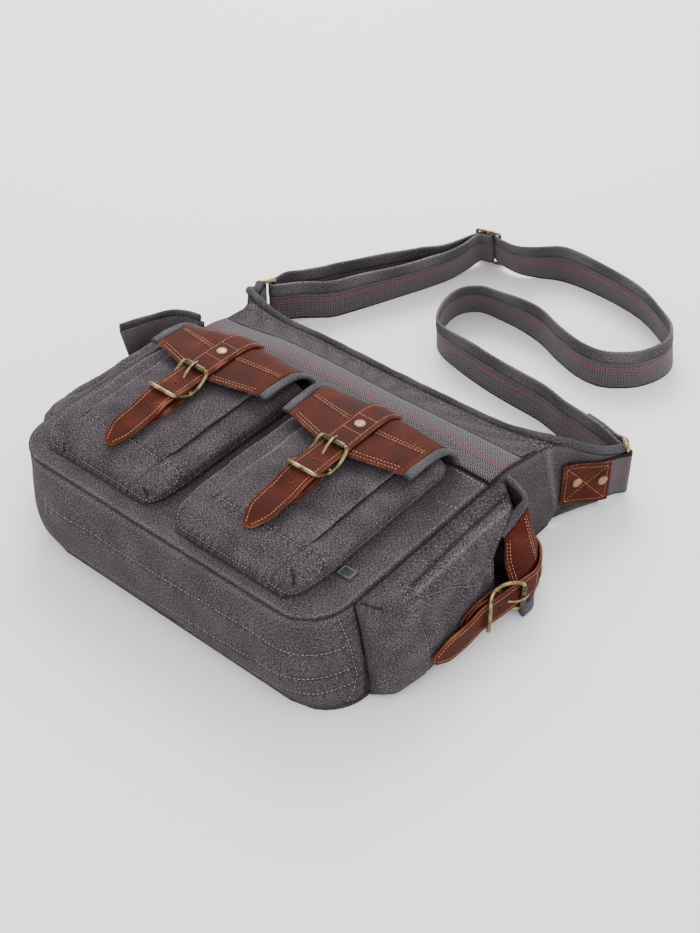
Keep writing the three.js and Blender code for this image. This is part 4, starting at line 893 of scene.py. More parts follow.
def ruffle_strip():
    """The gathered canvas strip over the webbing: waves of uneven pitch, deepest at its middle, and an upper
    edge that crinkles."""
    x, share = np.meshgrid(np.linspace(-1, 1, 301) * (HALF - 1.2), np.linspace(0, 1, 25))
    y = BAND_TOP + LAYER + RUFFLE * share
    phase = 2 * np.pi * (x / 27 + 0.35 * np.sin(x / 31) + 0.5 * np.sin(share * 2.2 + x / 70))
    wave = 0.75 * np.sin(phase) * (0.35 + 0.65 * np.sin(np.pi * np.clip(share, 0, 1)))
    gathers = np.sin(2 * np.pi * x / 6.1 + 2 * np.sin(x / 19) + 2 * share)
    fine = 0.3 * gathers * (0.5 + 0.5 * ramp(share, 0.7, 1))
    height = front_height(x, np.minimum(y, RIM)) + LAYER + 0.75 + 0.5 + wave * 0.9 + fine
    scallops = np.abs(np.sin(np.pi * x / 29 + 0.5 * np.sin(x / 41)))
    crinkle = share ** 6 * (2.6 * scallops - 3.2)
    skin = Skin(np.stack([x, y + crinkle, height], -1))
    # Painted light and shade: paler on the crests of the waves and gathers and darker in their hollows;
    # painted shade along the top edge, in the gap under the rim binding, and along the sewn foot. The cut
    # edge is painted dark as shade too.
    skin.shade = -0.02 + 0.14 * wave + 0.2 * fine - 1.0 * ramp(share, 0.95, 1.0) - 0.8 * bell(share, 0.035)
    cloth_piece("ruffle_canvas", skin, 1.3, CANVAS_CLOTH, ["ruffle_strip"], edge=-1.2)
    line = skin.at(np.full(120, 1.6), np.linspace(2, 298, 120), 0.62)
    stitches("ruffle_stitching", [line], DARK_THREAD, STITCH["ruffle"])


def rim_route(kind):
    """The middle lines of the two rolled rim bindings, from ear to ear."""
    def half_line(end):
        """The half of the route on one ear's side."""
        side = end["side"]
        x = side * HALF
        if kind == "front":
            tops = np.array([ear_edge(end, row)[1] for row in EAR_ROWS[::-1]])
            a, _ = axes_along(tops, UPRIGHT)
            ears = tops + a * (RIM_RADIUS + 3 * GAP)
            ears = ears[ears[:, 1] > RIM + 0.2 * end["length"]]
            z = float(front_height(x, RIM))
            rest = [(x + side * 4, RIM + 13.5, z + 1.6), (x - side * 3, RIM + 11, z + 1.8),
                    (x - side * 12, RIM + 9, z + 0.5)]
            return np.vstack([ears, rest])
        z = RIM_RADIUS + GAP
        ears = [ear_edge(end, row)[0] for row in EAR_ROWS[::-1] if 0.2 < row[0] < 0.8]
        ears = [(p[0], p[1], low) for p, low in zip(ears, (2.6, 3.7, z))]
        corner = float(back_half(RIM, end))
        rest = [(side * (corner - 5), RIM + 8.4, z), (side * (corner - 16), RIM + 4.6, z)]
        return np.vstack([ears, rest])
    if kind == "front":
        middle = [(s * HALF, RIM + RIM_RADIUS + GAP, float(front_height(s * HALF, RIM)) - CANVAS / 2)
                  for s in (0.75, 0.4, 0, -0.4, -0.75)]
    else:
        middle = [(s * HALF, RIM + RIM_RADIUS - 0.4, RIM_RADIUS + GAP) for s in (0.8, 0, -0.8)]
    return np.vstack([half_line(ENDS["right"]), middle, half_line(ENDS["left"])[::-1]])


def rim_bindings():
    """Folded canvas rolled over the rims: a tube whose radius wanders a little, grooved for its seam, with
    painted shade in the groove.
    """
    sides = 16
    turn = 2 * np.pi * np.arange(sides) / sides
    groove = bell(np.angle(np.exp(1j * (turn + 2.5))), 0.3)
    for kind in ("front", "back"):
        line = curve(rim_route(kind), 20)
        path = spaced(line, int(run_of(line)[-1] / 1.8))
        run = run_of(path)
        a, b = axes_along(path, UPRIGHT)
        swell = 1 + 0.035 * np.sin(run / 9 + 2 * np.sin(run / 37)) + 0.03 * np.sin(run / 4.1)
        if kind == "back":
            swell = swell * mix(0.52, 1, ramp(np.minimum(run, run[-1] - run), 0, 40))
        section = round_section(1.0, sides)[None] * (RIM_RADIUS * swell)[:, None, None]
        section = section * (1 - 0.16 * groove)[None, :, None]
        # Painted shade darkens the seam's groove.
        shade = 0.2 * np.sin(run / 11)[:, None] - 0.8 * groove
        node = f"rim_binding_{kind}"
        swept_piece(f"{kind}_rim_binding_canvas", path, a, b, section, BINDING_CLOTH, node, shade)


# Pockets

# The pockets: centre, how far the bottom seam is above the base, width, length and puff
POCKETS = {
    "left": {"centre": -84.0, "above": 17.0, "wide": 137.0, "long": 182.0, "puff": 22.0},
    "right": {"centre": 73.0, "above": 12.0, "wide": 137.0, "long": 187.0, "puff": 22.0},
    "side_right": {"side": 1, "above": 44.0, "wide": 89.6, "long": 134.0, "puff": 43.0},
    "side_left": {"side": -1, "above": 44.0, "wide": 89.6, "long": 134.0, "puff": 43.0},
}

# A pocket's section, as shares of its half width and of its puff, with its pleats open and closed, and its
# profile, as shares of its length, puff and width
FRONT_ACROSS = np.array([-1.00, -1.01, -0.94, -0.715, -0.665, -0.69, -0.645, -0.30,
                         0.30, 0.645, 0.69, 0.665, 0.715, 0.94, 1.01, 1.00])
FRONT_OUT = np.array([0.00, 0.58, 0.74, 0.775, 0.80, 0.96, 1.00, 1.04,
                      1.04, 1.00, 0.96, 0.80, 0.775, 0.74, 0.58, 0.00])
FRONT_PLAIN = np.array([0.00, 0.60, 0.80, 0.95, 0.965, 0.985, 1.00, 1.03,
                        1.03, 1.00, 0.985, 0.965, 0.95, 0.80, 0.60, 0.00])
FRONT_PROFILE = np.array([(0.00, 0.02, 0.80), (0.035, 0.46, 0.90), (0.09, 0.74, 0.97), (0.19, 0.88, 1.00),
                          (0.45, 1.00, 1.00), (0.75, 1.02, 1.00), (1.00, 1.06, 1.00)])
SIDE_ACROSS = np.array([-1.00, -0.88, -0.70, -0.42, -0.14, -0.07, 0.20, 0.52, 0.82, 0.96, 1.00, 1.00])
SIDE_OUT = np.array([0.00, 0.30, 0.60, 0.67, 0.72, 0.90, 0.97, 1.00, 0.95, 0.80, 0.50, 0.00])
SIDE_PLAIN = np.array([0.00, 0.30, 0.60, 0.72, 0.85, 0.90, 0.97, 1.00, 0.95, 0.80, 0.50, 0.00])
SIDE_PROFILE = np.array([(0.00, 0.03, 1.00), (0.03, 0.40, 1.00), (0.09, 0.76, 1.00), (0.20, 0.95, 1.00),
                         (0.40, 1.00, 1.00), (0.75, 0.92, 1.00), (1.00, 0.82, 1.00)])

# How much further up the side pocket's mouth runs at each column
SIDE_MOUTH = np.array([55, 50, 38, 23, 9, 3, 0, 4, 18, 36, 50, 55])

# The pockets' sewn lines, pleat folds and ridges, as (profile row, section column) corners
FRONT_LINES = {
    "seams": [[(2.96, 3.2), (2.96, 7.5), (2.96, 12.0)],
              [(2.96, 12.0), (3.02, 12.8), (2.85, 13.6), (2.2, 14.5)],
              [(5.9, 14.6), (1.2, 14.6), (0.65, 14.35), (0.36, 13.4), (0.36, 7.5), (0.36, 2.2),
               (0.75, 1.4), (1.4, 1.25), (5.9, 1.25)]],
    "folds": [[(2.9, 11.0), (6, 11.0)], [(2.9, 4.0), (6, 4.0)]],
    "ridges": [[(3.0, 10.2), (6, 9.9)], [(3.0, 4.8), (6, 5.1)]],
}
SIDE_LINES = {
    "seams": [[(3.61, 0.4), (3.58, 1.2), (3.5, 2.25), (3.5, 5.3), (3.56, 7.4), (3.6, 10.4)],
              [(3.78, 1.75), (4.13, 2.25), (4.47, 2.9), (4.87, 3.9), (5.25, 5.0)],
              [(5.85, 0.4), (5.85, 10.6)]],
    "folds": [[(3.9, 1.2), (4.9, 1.05), (6, 1.1)]],
    "ridges": [[(3.8, 1.65), (4.87, 1.6), (6, 1.75)]],
}
SIDE_DART = [(1.17, 0.2), (1.67, 0.71), (2.2, 1.2)]
DARTS = {"left": [(1.1, 12.6), (0.72, 13.5)], "right": [(1.9, 12.4), (1.2, 13.25)],
         "side_right": SIDE_DART, "side_left": SIDE_DART}


def carrier_of(name):
    """What a pocket lies on, as a height in its own axes: the front panel, or the side of the bag."""
    row = POCKETS[name]
    if "centre" in row:
        return (lambda across, up: front_height(row["centre"] + across, up) - DEPTH), 1.0
    end = ENDS["right" if row["side"] > 0 else "left"]
    return (lambda across, up: side_out(up, DEPTH / 2 - across, end)), 0.0


def set_in_place(name, points):
    """From a pocket's own axes to the bag's: front pockets face up, side ones face away from their side."""
    row = POCKETS[name]
    x, y, z = np.moveaxis(np.asarray(points, float), -1, 0)
    if "centre" in row:
        return np.stack([x + row["centre"], y, z + DEPTH], -1)
    side = row["side"]
    return np.stack([side * (HALF + z), y, DEPTH / 2 - side * x], -1)


def turned(name, vectors):
    """Directions from a pocket's own axes to the bag's."""
    return set_in_place(name, vectors) - set_in_place(name, np.zeros(3))


def mirror_of(name):
    """-1 for the left side pocket, whose axes are mirrored, and 1 for the others."""
    return POCKETS[name].get("side", 1)


def pocket_skin(name):
    """The pocket's cloth: its section's outward share times its profile's, times the puff, over what carries
    it. The pleats open above the cross seam and lie closed under it."""
    row, (carrier, follow) = POCKETS[name], carrier_of(name)
    front = "centre" in row
    if front:
        across, out, plain = FRONT_ACROSS, FRONT_OUT, FRONT_PLAIN
    else:
        across, out, plain = SIDE_ACROSS, SIDE_OUT, SIDE_PLAIN
    profile = FRONT_PROFILE if front else SIDE_PROFILE
    spans = len(profile) - 1
    level = np.arange(spans * 6 + 1) / 6
    up_share, out_share, wide = (np.interp(level, range(spans + 1), profile[:, k])[:, None] for k in range(3))
    up = BASE + row["above"] + row["long"] * up_share
    if not front:
        up = up + SIDE_MOUTH * ramp(up_share, 0.4, 1)
    opened = ramp(up_share, 0.19, 0.30) if front else ramp(up_share, 0.28, 0.42)
    share = mix(plain, out, opened) * out_share
    x = across * row["wide"] / 2 * wide
    height = carrier(x, up) * mix(1, follow, share) + LAYER + WALL / 2 + row["puff"] * share
    rough = np.stack([mirror_of(name) * x, up + 0 * x, height], -1)
    skin = Skin(set_in_place(name, rough), 1.8, soft=(2.4, 0.8), facing=mirror_of(name))
    skin.rows = skin.rows / 6
    return skin


def pocket(name):
    """One pocket with its seams, its cross seam, its corner darts, its pleats and its stitching."""
    skin = pocket_skin(name)
    front = "centre" in POCKETS[name]
    last = len(FRONT_ACROSS if front else SIDE_ACROSS) - 1
    p = skin.points
    column = skin.columns[None, :]
    edge = np.minimum(np.minimum(column, last - column) * 12, skin.rows[:, None] * 10 + 0 * column)
    uneven = ripples(p, 31 + len(name), 52) * 0.75 + ripples(p, 32, 24) * 0.28
    # Painted shade darkens the cloth within a few millimetres of the pocket's sewn edges.
    skin.raised(uneven * ramp(edge, 2, 22), 0.12 * ripples(p, 33, 22) - 0.3 * bell(edge, 5))
    lines = FRONT_LINES if front else SIDE_LINES
    for k, corners in enumerate(lines["seams"]):
        skin.seam(corners, *GROOVE["cross" if k < 2 else "edge"])
    skin.seam(DARTS[name], *GROOVE["dart"])
    deep = 0.5 if front else 2.2
    # Painted shadow under each pleat's lip, and a painted highlight along each ridge.
    for corners in lines["folds"]:
        skin.fold(corners, -deep, 1.5 + deep, -0.9, 1.6)
    for corners in lines["ridges"]:
        skin.fold(corners, deep * 0.8, 1.9 + deep * 0.5, 0.55, 1.3)
    cloth_piece(f"pocket_{name}_canvas", skin, WALL, CANVAS_CLOTH, [f"pocket_{name}"], edge=0.4)
    sewn = [skin.line(corners, WALL / 2) for corners in lines["seams"]]
    stitches(f"pocket_{name}_stitching", sewn, CANVAS_THREAD, STITCH["pocket"])


# Flaps

# The flaps' lines, as shares of their half width, drop and rise; None lies on the pocket's ground
FRONT_FLAP = {
    "half": 62.0, "drop": 80.0, "rise": 35.0, "rivet": 0.58, "top": BAND_LOW - LAYER - LEATHER / 2,
    "lap": 0.50,
    "near": [(-1, 0, None), (-1, 0.09, 0.57), (-1, 0.30, 0.89), (-0.98, 0.575, 0.94), (-0.97, 0.825, 0.915)],
    "middle": [(0, 0, None), (0, 0.075, 0.63), (0, 0.275, 0.957), (0, 0.625, 1), (0, 1, 0.986)],
    "far": [(1, 0, None), (1, 0.09, 0.57), (1, 0.30, 0.89), (0.98, 0.575, 0.94), (0.97, 0.825, 0.915)],
}
SIDE_FLAP = {
    "half": 42.0, "drop": 61.0, "rise": 56.0, "rivet": 0.475, "top": 101.0, "lap": 0.44,
    "middle": [(0.476, 0.05, None), (0.476, 0.115, 0.48), (0.476, 0.295, 0.79), (0.476, 0.607, 0.98),
               (0.476, 1, 0.955)],
    "far": [(0.893, 0.016, None), (0.893, 0.13, 0.60), (0.893, 0.426, 0.89), (0.893, 0.754, 1.03),
            (0.893, 1, 1.03)],
}
SIDE_NEAR = {
    "side_right": [(-1, 0.21, None), (-0.95, 0.26, 0.36), (-0.86, 0.36, 0.57), (-0.62, 0.54, 0.59),
                   (-0.36, 0.77, 0.535)],
    "side_left": [(-0.95, 0.16, None), (-0.98, 0.23, 0.34), (-1, 0.36, 0.55), (-1.05, 0.78, 0.74),
                  (-1.1, 1.25, 0.86)],
}
FLAP_ROWS, BINDING_START, FLAP_THICK = 48, 2, 1.5


def flap_form(name):
    """The sizes of a pocket's flap, with the line of its near edge."""
    return FRONT_FLAP if "centre" in POCKETS[name] else {**SIDE_FLAP, "near": SIDE_NEAR[name]}


def flap_lines(name):
    """The flap's near, middle and far lines, from its seam to its lower edge, in the pocket's own axes."""
    form, (carrier, follow) = flap_form(name), carrier_of(name)
    seat = LAYER + GAP + LEATHER / 2
    lines = []
    for key in ("near", "middle", "far"):
        points = []
        for across, down, rise in form[key]:
            x, y = across * form["half"], form["top"] - down * form["drop"]
            under = float(carrier(x, y))
            height = under + seat if rise is None else rise * form["rise"] + follow * under
            points.append((x, y, height))
        lines.append(curve(points, 24))
    return lines


def flap_grid(name, count):
    """Seven columns across the flap: its edges, the strap's sides and middle, and halfway between."""
    near, centre, far = (spaced(line, count) for line in flap_lines(name))
    beside = np.array([STRAP_WIDE / 2 + LAYER, 0, 0])
    inner, outer = centre - beside, centre + beside
    grid = np.stack([near, (near + inner) / 2, inner, centre, outer, (outer + far) / 2, far], 1)
    if name == "side_right":
        grid[:, 1:3, 1] -= np.array([8.0, 7.0]) * ramp(np.linspace(0, 1, count + 1), 0.35, 1)[:, None]
    grid[..., 0] *= mirror_of(name)
    return grid


def flap(name):
    """The leather flap: an upper piece lapped over a lower one, double stitched, with a canvas lining."""
    form, count = flap_form(name), FLAP_ROWS
    local = flap_grid(name, count)[:, ::-1]
    skin = Skin(set_in_place(name, local), 1.7, soft=(1.5, 4.0), facing=mirror_of(name))
    down = (form["top"] - local[:, 3, 1]) / form["drop"]
    lap = np.interp(form["lap"], down, np.arange(count + 1))
    row = skin.rows[:, None] + 0 * skin.columns
    length = run_of(local[:, 3])[-1] / count
    below = (row - lap) * length
    p = skin.points
    sag = ripples(p, 51 + len(name), 46) * 0.35
    step = 0.45 * (1 - ramp(below, 5.0, 5.9))
    rim = np.minimum(np.minimum(skin.columns, 6 - skin.columns)[None, :] * 12, (count - row) * length)
    # Painted shadow just below the upper piece's lapped edge and a painted highlight on the step; the paler
    # rim is the leather's own edge.
    shade = -0.8 * bell(below - 6.0, 0.6) + 0.55 * bell(below - 4.9, 0.5) + 0.25 * ripples(p, 52, 30)
    skin.raised(sag * ramp(rim, 1, 10) + step - 0.22, shade + 0.35 * bell(rim, 1.2))
    lengths = np.array([run_of(local[:, k])[-1] for k in range(7)])

    def parallel(inset, columns):
        """(row, column) pairs a fixed inset up from the lower edge."""
        return [(count * (1 - inset / np.interp(c, range(7), lengths)), c) for c in columns]
    left, right = np.linspace(0.25, 2.0, 6), np.linspace(4.0, 5.75, 6)
    halves = ((0.12, 2.0), (4.0, 5.88))
    rows = [[(lap + d / length, a), (lap + d / length, b)] for a, b in halves for d in (0.6, 3.6)]
    rows += [parallel(inset, columns) for inset in (3.0, 6.4) for columns in (left, right)]
    for corners in rows:
        skin.seam(corners, *GROOVE["flap"])
    skin.points = skin.points + skin.normals * 0.4
    cloth_piece(f"flap_{name}_leather", skin, FLAP_THICK, COWHIDE, [f"flap_{name}"], edge=0.65)
    lines = [skin.line(corners, FLAP_THICK / 2) for corners in rows]
    # The left side flap's lining faces the floor and gets little light, so it is painted paler, as painted
    # light; the other linings are a little darker.
    skin.shade = 0.15 * ripples(p, 53, 20) + (1.1 if name == "side_left" else -0.2)
    skin.points = skin.points - skin.normals * 1.25
    cloth_piece(f"flap_{name}_lining", skin, 0.8, CANVAS_CLOTH)
    stitches(f"flap_{name}_stitching", lines, LEATHER_THREAD, STITCH["flap"])


def flap_bindings(name):
    """The two rolled canvas bindings of a flap's side edges: a flattened tube whose size wanders a little."""
    local = flap_grid(name, FLAP_ROWS)[:, ::-1]
    turn = 2 * np.pi * np.arange(18) / 18
    round_x, round_y = np.cos(turn), np.sin(turn)
    flattened = np.stack([4.0 * np.sign(round_x) * np.abs(round_x) ** 0.75,
                          2.2 * np.sign(round_y) * np.abs(round_y) ** 0.8], -1)
    for k, (column, inward) in enumerate(((0, 1), (6, 5))):
        edge = local[:, column]
        a, _ = axes_along(edge, unit(edge - local[:, inward]))
        edge, a = edge[BINDING_START:], a[BINDING_START:]
        path = spaced(edge + a * (4.0 + 3 * GAP), 60)
        a = np.stack([np.interp(run_of(path), run_of(edge), a[:, m]) for m in range(3)], -1)
        path = set_in_place(name, path)
        a, b = axes_along(path, turned(name, a))
        run = run_of(path)
        section = flattened[None] * (1 + 0.04 * np.sin(run / 5 + k))[:, None, None]
        shade = 0.3 + 0.2 * np.sin(run / 8)[:, None] + 0 * turn
        node = f"flap_binding_{k + 1}_{name}"
        swept_piece(f"{node}_canvas", path, a, b, section, BINDING_CLOTH, node, shade)


# Straps, buckles, billets and rivets

# The strap's tail down to the pocket: shares of its length, and of the strap's thickness over the pocket
TAIL_LONG = 61
TAIL = [(0.30, 2.8), (0.62, 2.3), (1.00, 1.5)]

# The strap's width near its tip, as distances from the tip and shares of the full width
TAPER = [0, 0.5, 1.4, 4, 9, 14, 19, 23], [0.16, 0.28, 0.36, 0.48, 0.68, 0.86, 0.97, 1.0]

# The strap's columns, closer together at its edges and round its holes
HALF_ACROSS = np.array([0.5, 1.0, 1.4, 1.8, 2.2, 2.8, 3.6, 5.0, 7.0, 9.0, 10.4, 11.4, 12.1, 12.5])
STRAP_ACROSS = np.concatenate([-HALF_ACROSS[::-1], [0], HALF_ACROSS])

# The buckle's roller, as shares of its length and of its radius, with a shallow groove near each end
ROLLER_PLACES = np.array([-0.5, -0.49, -0.46, -0.44, -0.42, 0.42, 0.44, 0.46, 0.49, 0.5])
ROLLER_THIN = np.array([0.86, 0.97, 1.0, 0.95, 1.0, 1.0, 0.95, 1.0, 0.97, 0.86])


def pocket_face(name):
    """The height of a pocket's outer face on the line of its strap, for each height up the bag."""
    row, (carrier, follow) = POCKETS[name], carrier_of(name)
    front = "centre" in row
    profile = FRONT_PROFILE if front else SIDE_PROFILE
    line = 0.0 if front else SIDE_FLAP["middle"][0][0] * SIDE_FLAP["half"]
    nearest = np.argmin(np.abs(SIDE_ACROSS - line / (row["wide"] / 2)))
    furthest = FRONT_OUT.max() if front else SIDE_OUT[nearest]

    def face(up):
        """The face's height over the ground at a height up the bag."""
        share = furthest * np.interp((up - BASE - row["above"]) / row["long"], profile[:, 0], profile[:, 1])
        return carrier(line, up) * mix(1, follow, share) + LAYER + WALL + row["puff"] * share
    return face


class Fastening:
    """The strap of one pocket, with its rivet, its centre-bar buckle and its billet. Its line is worked out
    in the upright plane through the strap's middle, as (up the bag, out from the pocket's ground) pairs."""

    def __init__(self, name):
        form = flap_form(name)
        self.name, self.face = name, pocket_face(name)
        self.x = mirror_of(name) * form["middle"][0][0] * form["half"]
        self.sideways = turned(name, np.array([1.0, 0, 0]))
        self.rivet_up = form["top"] - form["rivet"] * form["drop"]
        middle = spaced(flap_lines(name)[1], 8)[:, 1:]
        seat = LEATHER / 2 + GAP + STRAP_THICK / 2
        way = unit(np.vstack([middle[1:], middle[-1:]]) - np.vstack([middle[:1], middle[:-1]]))
        self.over = middle + seat * np.stack([way[:, 1], -way[:, 0]], -1)
        self.down = unit(middle[-1] - middle[-2])
        self.out = np.array([self.down[1], -self.down[0]])
        self.centre = self.over[-1] + self.down * (BUCKLE_LONG / 2 - 1)
        self.over_strap = STRAP_THICK / 2 + GAP + ROLLER
        self.under_strap = STRAP_THICK / 2 + 2 * GAP + BILLET_THICK + WIRE_BAR / 2
        self.half_x, self.half_y = STRAP_WIDE / 2 + LAYER + WIRE_BUCKLE / 2, BUCKLE_LONG / 2

    def at(self, down, out):
        """A place from the buckle's middle: so far down the strap, and so far out from it."""
        return self.centre + self.down * down + self.out * out

    def set_out(self, pairs):
        """Places in the bag's frame from (up, out) pairs."""
        pairs = np.atleast_2d(pairs)
        return set_in_place(self.name, np.column_stack([np.full(len(pairs), self.x), pairs]))

    def axes(self, down):
        """Across the strap, up it and out from it, as the columns of a turn."""
        ways = ((1.0, 0, 0), (0, -down[0], -down[1]), (0, down[1], -down[0]))
        return np.stack([turned(self.name, np.array(way)) for way in ways], 1)

    def strap_line(self):
        """The strap's middle line: over the flap, through the buckle, and down to the pocket's face."""
        straight = self.at(BUCKLE_LONG / 2 + WIRE_BUCKLE, 0)
        ups = [straight[0] - TAIL_LONG * along for along, _ in TAIL]
        tail = [(up, float(self.face(up)) + high * STRAP_THICK) for up, (_, high) in zip(ups, TAIL)]
        lower = curve(np.vstack([self.centre, straight, tail]), 20)
        run = run_of(lower)
        cut, end = np.linalg.norm(straight - self.centre), run[-1] - 15
        lengths = np.concatenate([np.linspace(cut, end, 6), run[-1] - 15 * np.array([0.55, 0.2, 0])])
        stations = np.stack([np.interp(lengths, run, lower[:, k]) for k in (0, 1)], -1)
        return curve(np.vstack([self.over[2:], self.centre, stations]), 10)

    def strap(self):
        """The strap's leather, with its tapered tip, creased edges, stitching, and holes drawn as pits
        painted dark with painted shade.
        """
        line = self.strap_line()
        run = run_of(line)
        long = run[-1]
        buckle_at = run[np.argmin(np.linalg.norm(line - self.centre, axis=1))]
        holes = [buckle_at + 4.4, buckle_at + BUCKLE_LONG / 2 + 12]
        by_holes = [np.arange(hole - 3.2, hole + 3.21, 0.4) for hole in holes]
        stops = [np.arange(0, long, 1.1)] + by_holes + [[long]]
        fine = np.unique(np.round(np.concatenate(stops), 3))
        path = self.set_out(np.stack([np.interp(fine, run, line[:, k]) for k in (0, 1)], -1))
        wide = np.interp(long - fine, *TAPER)
        grid = path[:, None] + self.sideways * (STRAP_ACROSS[None, :, None] * wide[:, None, None])
        skin = Skin(grid)
        outward = turned(self.name, np.array([0.0, 0, 1.0]))
        if skin.normals[len(fine) // 3, len(STRAP_ACROSS) // 2] @ outward < 0:
            grid = grid[:, ::-1]
            skin = Skin(grid)
        rim = STRAP_WIDE / 2 * wide[:, None] - np.abs(STRAP_ACROSS)[None, :] * wide[:, None]
        rim = np.minimum(rim, (long - fine)[:, None])
        shade = 0.22 * ripples(grid, 61 + len(self.name), 24) + 0.4 * bell(rim, 0.9)
        bend = ramp(fine, buckle_at - 30, buckle_at - 8) * (1 - ramp(fine, buckle_at + 20, buckle_at + 40))
        height = -0.22 * bell(rim - 2.6, 0.7) + 0.12 * ripples(grid, 62, 18)
        # Each hole is a shallow pit painted dark with painted shade, where a real hole would be in shadow,
        # with a paler ring round it.
        for hole in holes:
            away = np.hypot(fine[:, None] - hole, STRAP_ACROSS[None, :])
            pit = 1 - ramp(away, 1.3, 1.9)
            height = height - 1.9 * pit
            shade = shade - 2.5 * pit + 0.5 * bell(away - 2.2, 0.4)
        skin.raised(height, shade + 0.12 * bend[:, None])
        thick = STRAP_THICK - 0.35
        cloth_piece(f"strap_{self.name}_leather", skin, thick, COWHIDE, [f"strap_{self.name}"], edge=0.65)

        def sewn(distances, offset):
            """A line at distances down the strap, and an offset from its middle as on its full width."""
            rows = np.interp(distances, fine, np.arange(len(fine)))
            offset = np.broadcast_to(offset, rows.shape)
            return skin.at(rows, np.interp(offset, STRAP_ACROSS, np.arange(len(STRAP_ACROSS))), thick / 2)
        far = np.linspace(0.5, long - 2.6, 200)
        half_there = STRAP_WIDE / 2 * np.interp(long - far, *TAPER)
        inset = (half_there - 2.7) / half_there * STRAP_WIDE / 2
        rivet_at = np.interp(-self.rivet_up, -line[:, 0], run)
        across = np.linspace(-9.8, 9.8, 20)
        lines = [sewn(far, sign * inset) for sign in (-1, 1)]
        lines += [sewn(np.full(20, rivet_at + d), across) for d in (-10.5, 10.5)]
        stitches(f"strap_{self.name}_stitching", lines, LEATHER_THREAD, STITCH["strap"])

    def brass(self, kind, points, faces, material, shade):
        """One part of the buckle, made about the buckle's middle and set in its place."""
        placed = np.asarray(points, float) @ self.axes(self.down).T + self.set_out(self.centre)[0]
        node = f"buckle_{kind}_{self.name}"
        put_mesh(f"{node}_brass", placed, faces, material, [node], shade=shade)

    def buckle(self):
        """The frame with its bowed sides and its bar, the roller, and the tongue hooked round the bar."""
        half_x, half_y, under_strap, over_strap = self.half_x, self.half_y, self.under_strap, self.over_strap
        flat = round_rectangle((-half_x, -half_y), (half_x, half_y), BUCKLE_CORNER, 6,
                               np.linspace(0.1, 0.9, 7), np.linspace(0.125, 0.875, 9))
        loop = np.column_stack([flat, mix(-under_strap, over_strap, (flat[:, 1] / half_y) ** 2)])
        tangent = unit(np.roll(loop, -1, 0) - np.roll(loop, 1, 0))
        hint = np.column_stack([tangent[:, 1], -tangent[:, 0], 0 * tangent[:, 0]])
        heavy = 1 + 0.12 * ramp(-flat[:, 1], half_y - 6, half_y)
        section = round_section(WIRE_BUCKLE / 2, 14, 0.94)[None] * heavy[:, None, None]
        points, faces = sweep_mesh(loop, *axes_along(loop, hint, True), section, True)
        bar = np.array([(s * half_x, 0, -under_strap) for s in np.linspace(-1, 1, 7)])
        up_strap = np.array([0, 1.0, 0])
        bar_points, bar_faces = sweep_mesh(bar, *axes_along(bar, up_strap), round_section(WIRE_BAR / 2, 10))
        faces = faces + [group + len(points) for group in bar_faces]
        points = np.vstack([points, bar_points])
        self.brass("frame", points, faces, BRASS, 0.35 * ripples(points, 71, 9) + 0.3)
        long = 2 * (half_x - BUCKLE_CORNER) - 2 * GAP
        line = np.array([(s * long, half_y, over_strap) for s in ROLLER_PLACES])
        section = round_section(ROLLER, 20)[None] * ROLLER_THIN[:, None, None]
        points, faces = sweep_mesh(line, *axes_along(line, up_strap), section)
        self.brass("roller", points, faces, DARK_BRASS, 0.3 * ripples(points, 72, 6))
        eye = WIRE_BAR / 2 + GAP + TONGUE_THICK / 2
        rest = over_strap + ROLLER + GAP + TONGUE_THICK / 2
        turns = np.radians((-60, -120, -180, -240, -280))
        hook = [(0, eye * np.cos(turn), -under_strap + eye * np.sin(turn)) for turn in turns]
        reach = [(0, 5.2, 0.4), (0, 9.5, 4.6), (0, half_y - 6, rest - 0.9), (0, half_y + 1, rest),
                 (0, half_y + 4, rest - 0.6)]
        tongue = curve(np.array(hook + reach)[::-1], 6)
        narrow = np.interp(run_of(tongue), [0, 1.5, 4, 12], [0.55, 0.8, 0.95, 1.0])
        section = round_section(1, 12) * np.array([TONGUE_WIDE / 2, TONGUE_THICK / 2])
        section = section[None] * np.stack([narrow, np.ones_like(narrow)], -1)[:, None]
        points, faces = sweep_mesh(tongue, *axes_along(tongue, np.array([1.0, 0, 0])), section)
        self.brass("tongue", points, faces, BRASS, 0.3 + 0.3 * ripples(points, 73, 7))

    def billet(self):
        """The leather billet, sewn to the pocket and folded round the buckle's bar."""
        fold = WIRE_BAR / 2 + GAP + BILLET_THICK / 2

        def on_pocket(share, layer):
            """A point of the billet's inner or outer layer on the pocket, at a share of its length."""
            up = self.centre[0] - BILLET_LONG * share
            return up, float(self.face(up)) + GAP + BILLET_THICK * (layer + 0.5) + GAP * 1.5 * layer
        turns = np.radians((-90, -45, 0, 45, 90))
        around = [self.at(-fold * np.cos(turn), -self.under_strap + fold * np.sin(turn)) for turn in turns]
        route = [[on_pocket(share, 0) for share in (1, 0.75, 0.5)], around,
                 [on_pocket(share, 1) for share in (0.48, 0.7, 0.9)]]
        path = self.set_out(spaced(curve(np.vstack(route), 8), 90))
        run = run_of(path)
        wide = np.interp(np.minimum(run, run[-1] - run), [0, 1, 3, 7], [0.55, 0.75, 0.92, 1.0])
        half = STRAP_WIDE / 2
        section = round_rectangle((-half, -0.85), (half, 0.85), 0.6, 2, evenly(5), evenly(5))
        section = section[None] * np.stack([wide, np.ones_like(wide)], -1)[:, None]
        pale_edge = 0.6 * (np.abs(section[..., 0]) > 11.2 * wide[:, None])
        shade = 0.25 * ripples(path, 74, 15)[:, None] + pale_edge
        a, b = axes_along(path, self.sideways)
        swept_piece(f"billet_{self.name}_leather", path, a, b, section, COWHIDE, f"billet_{self.name}", shade)

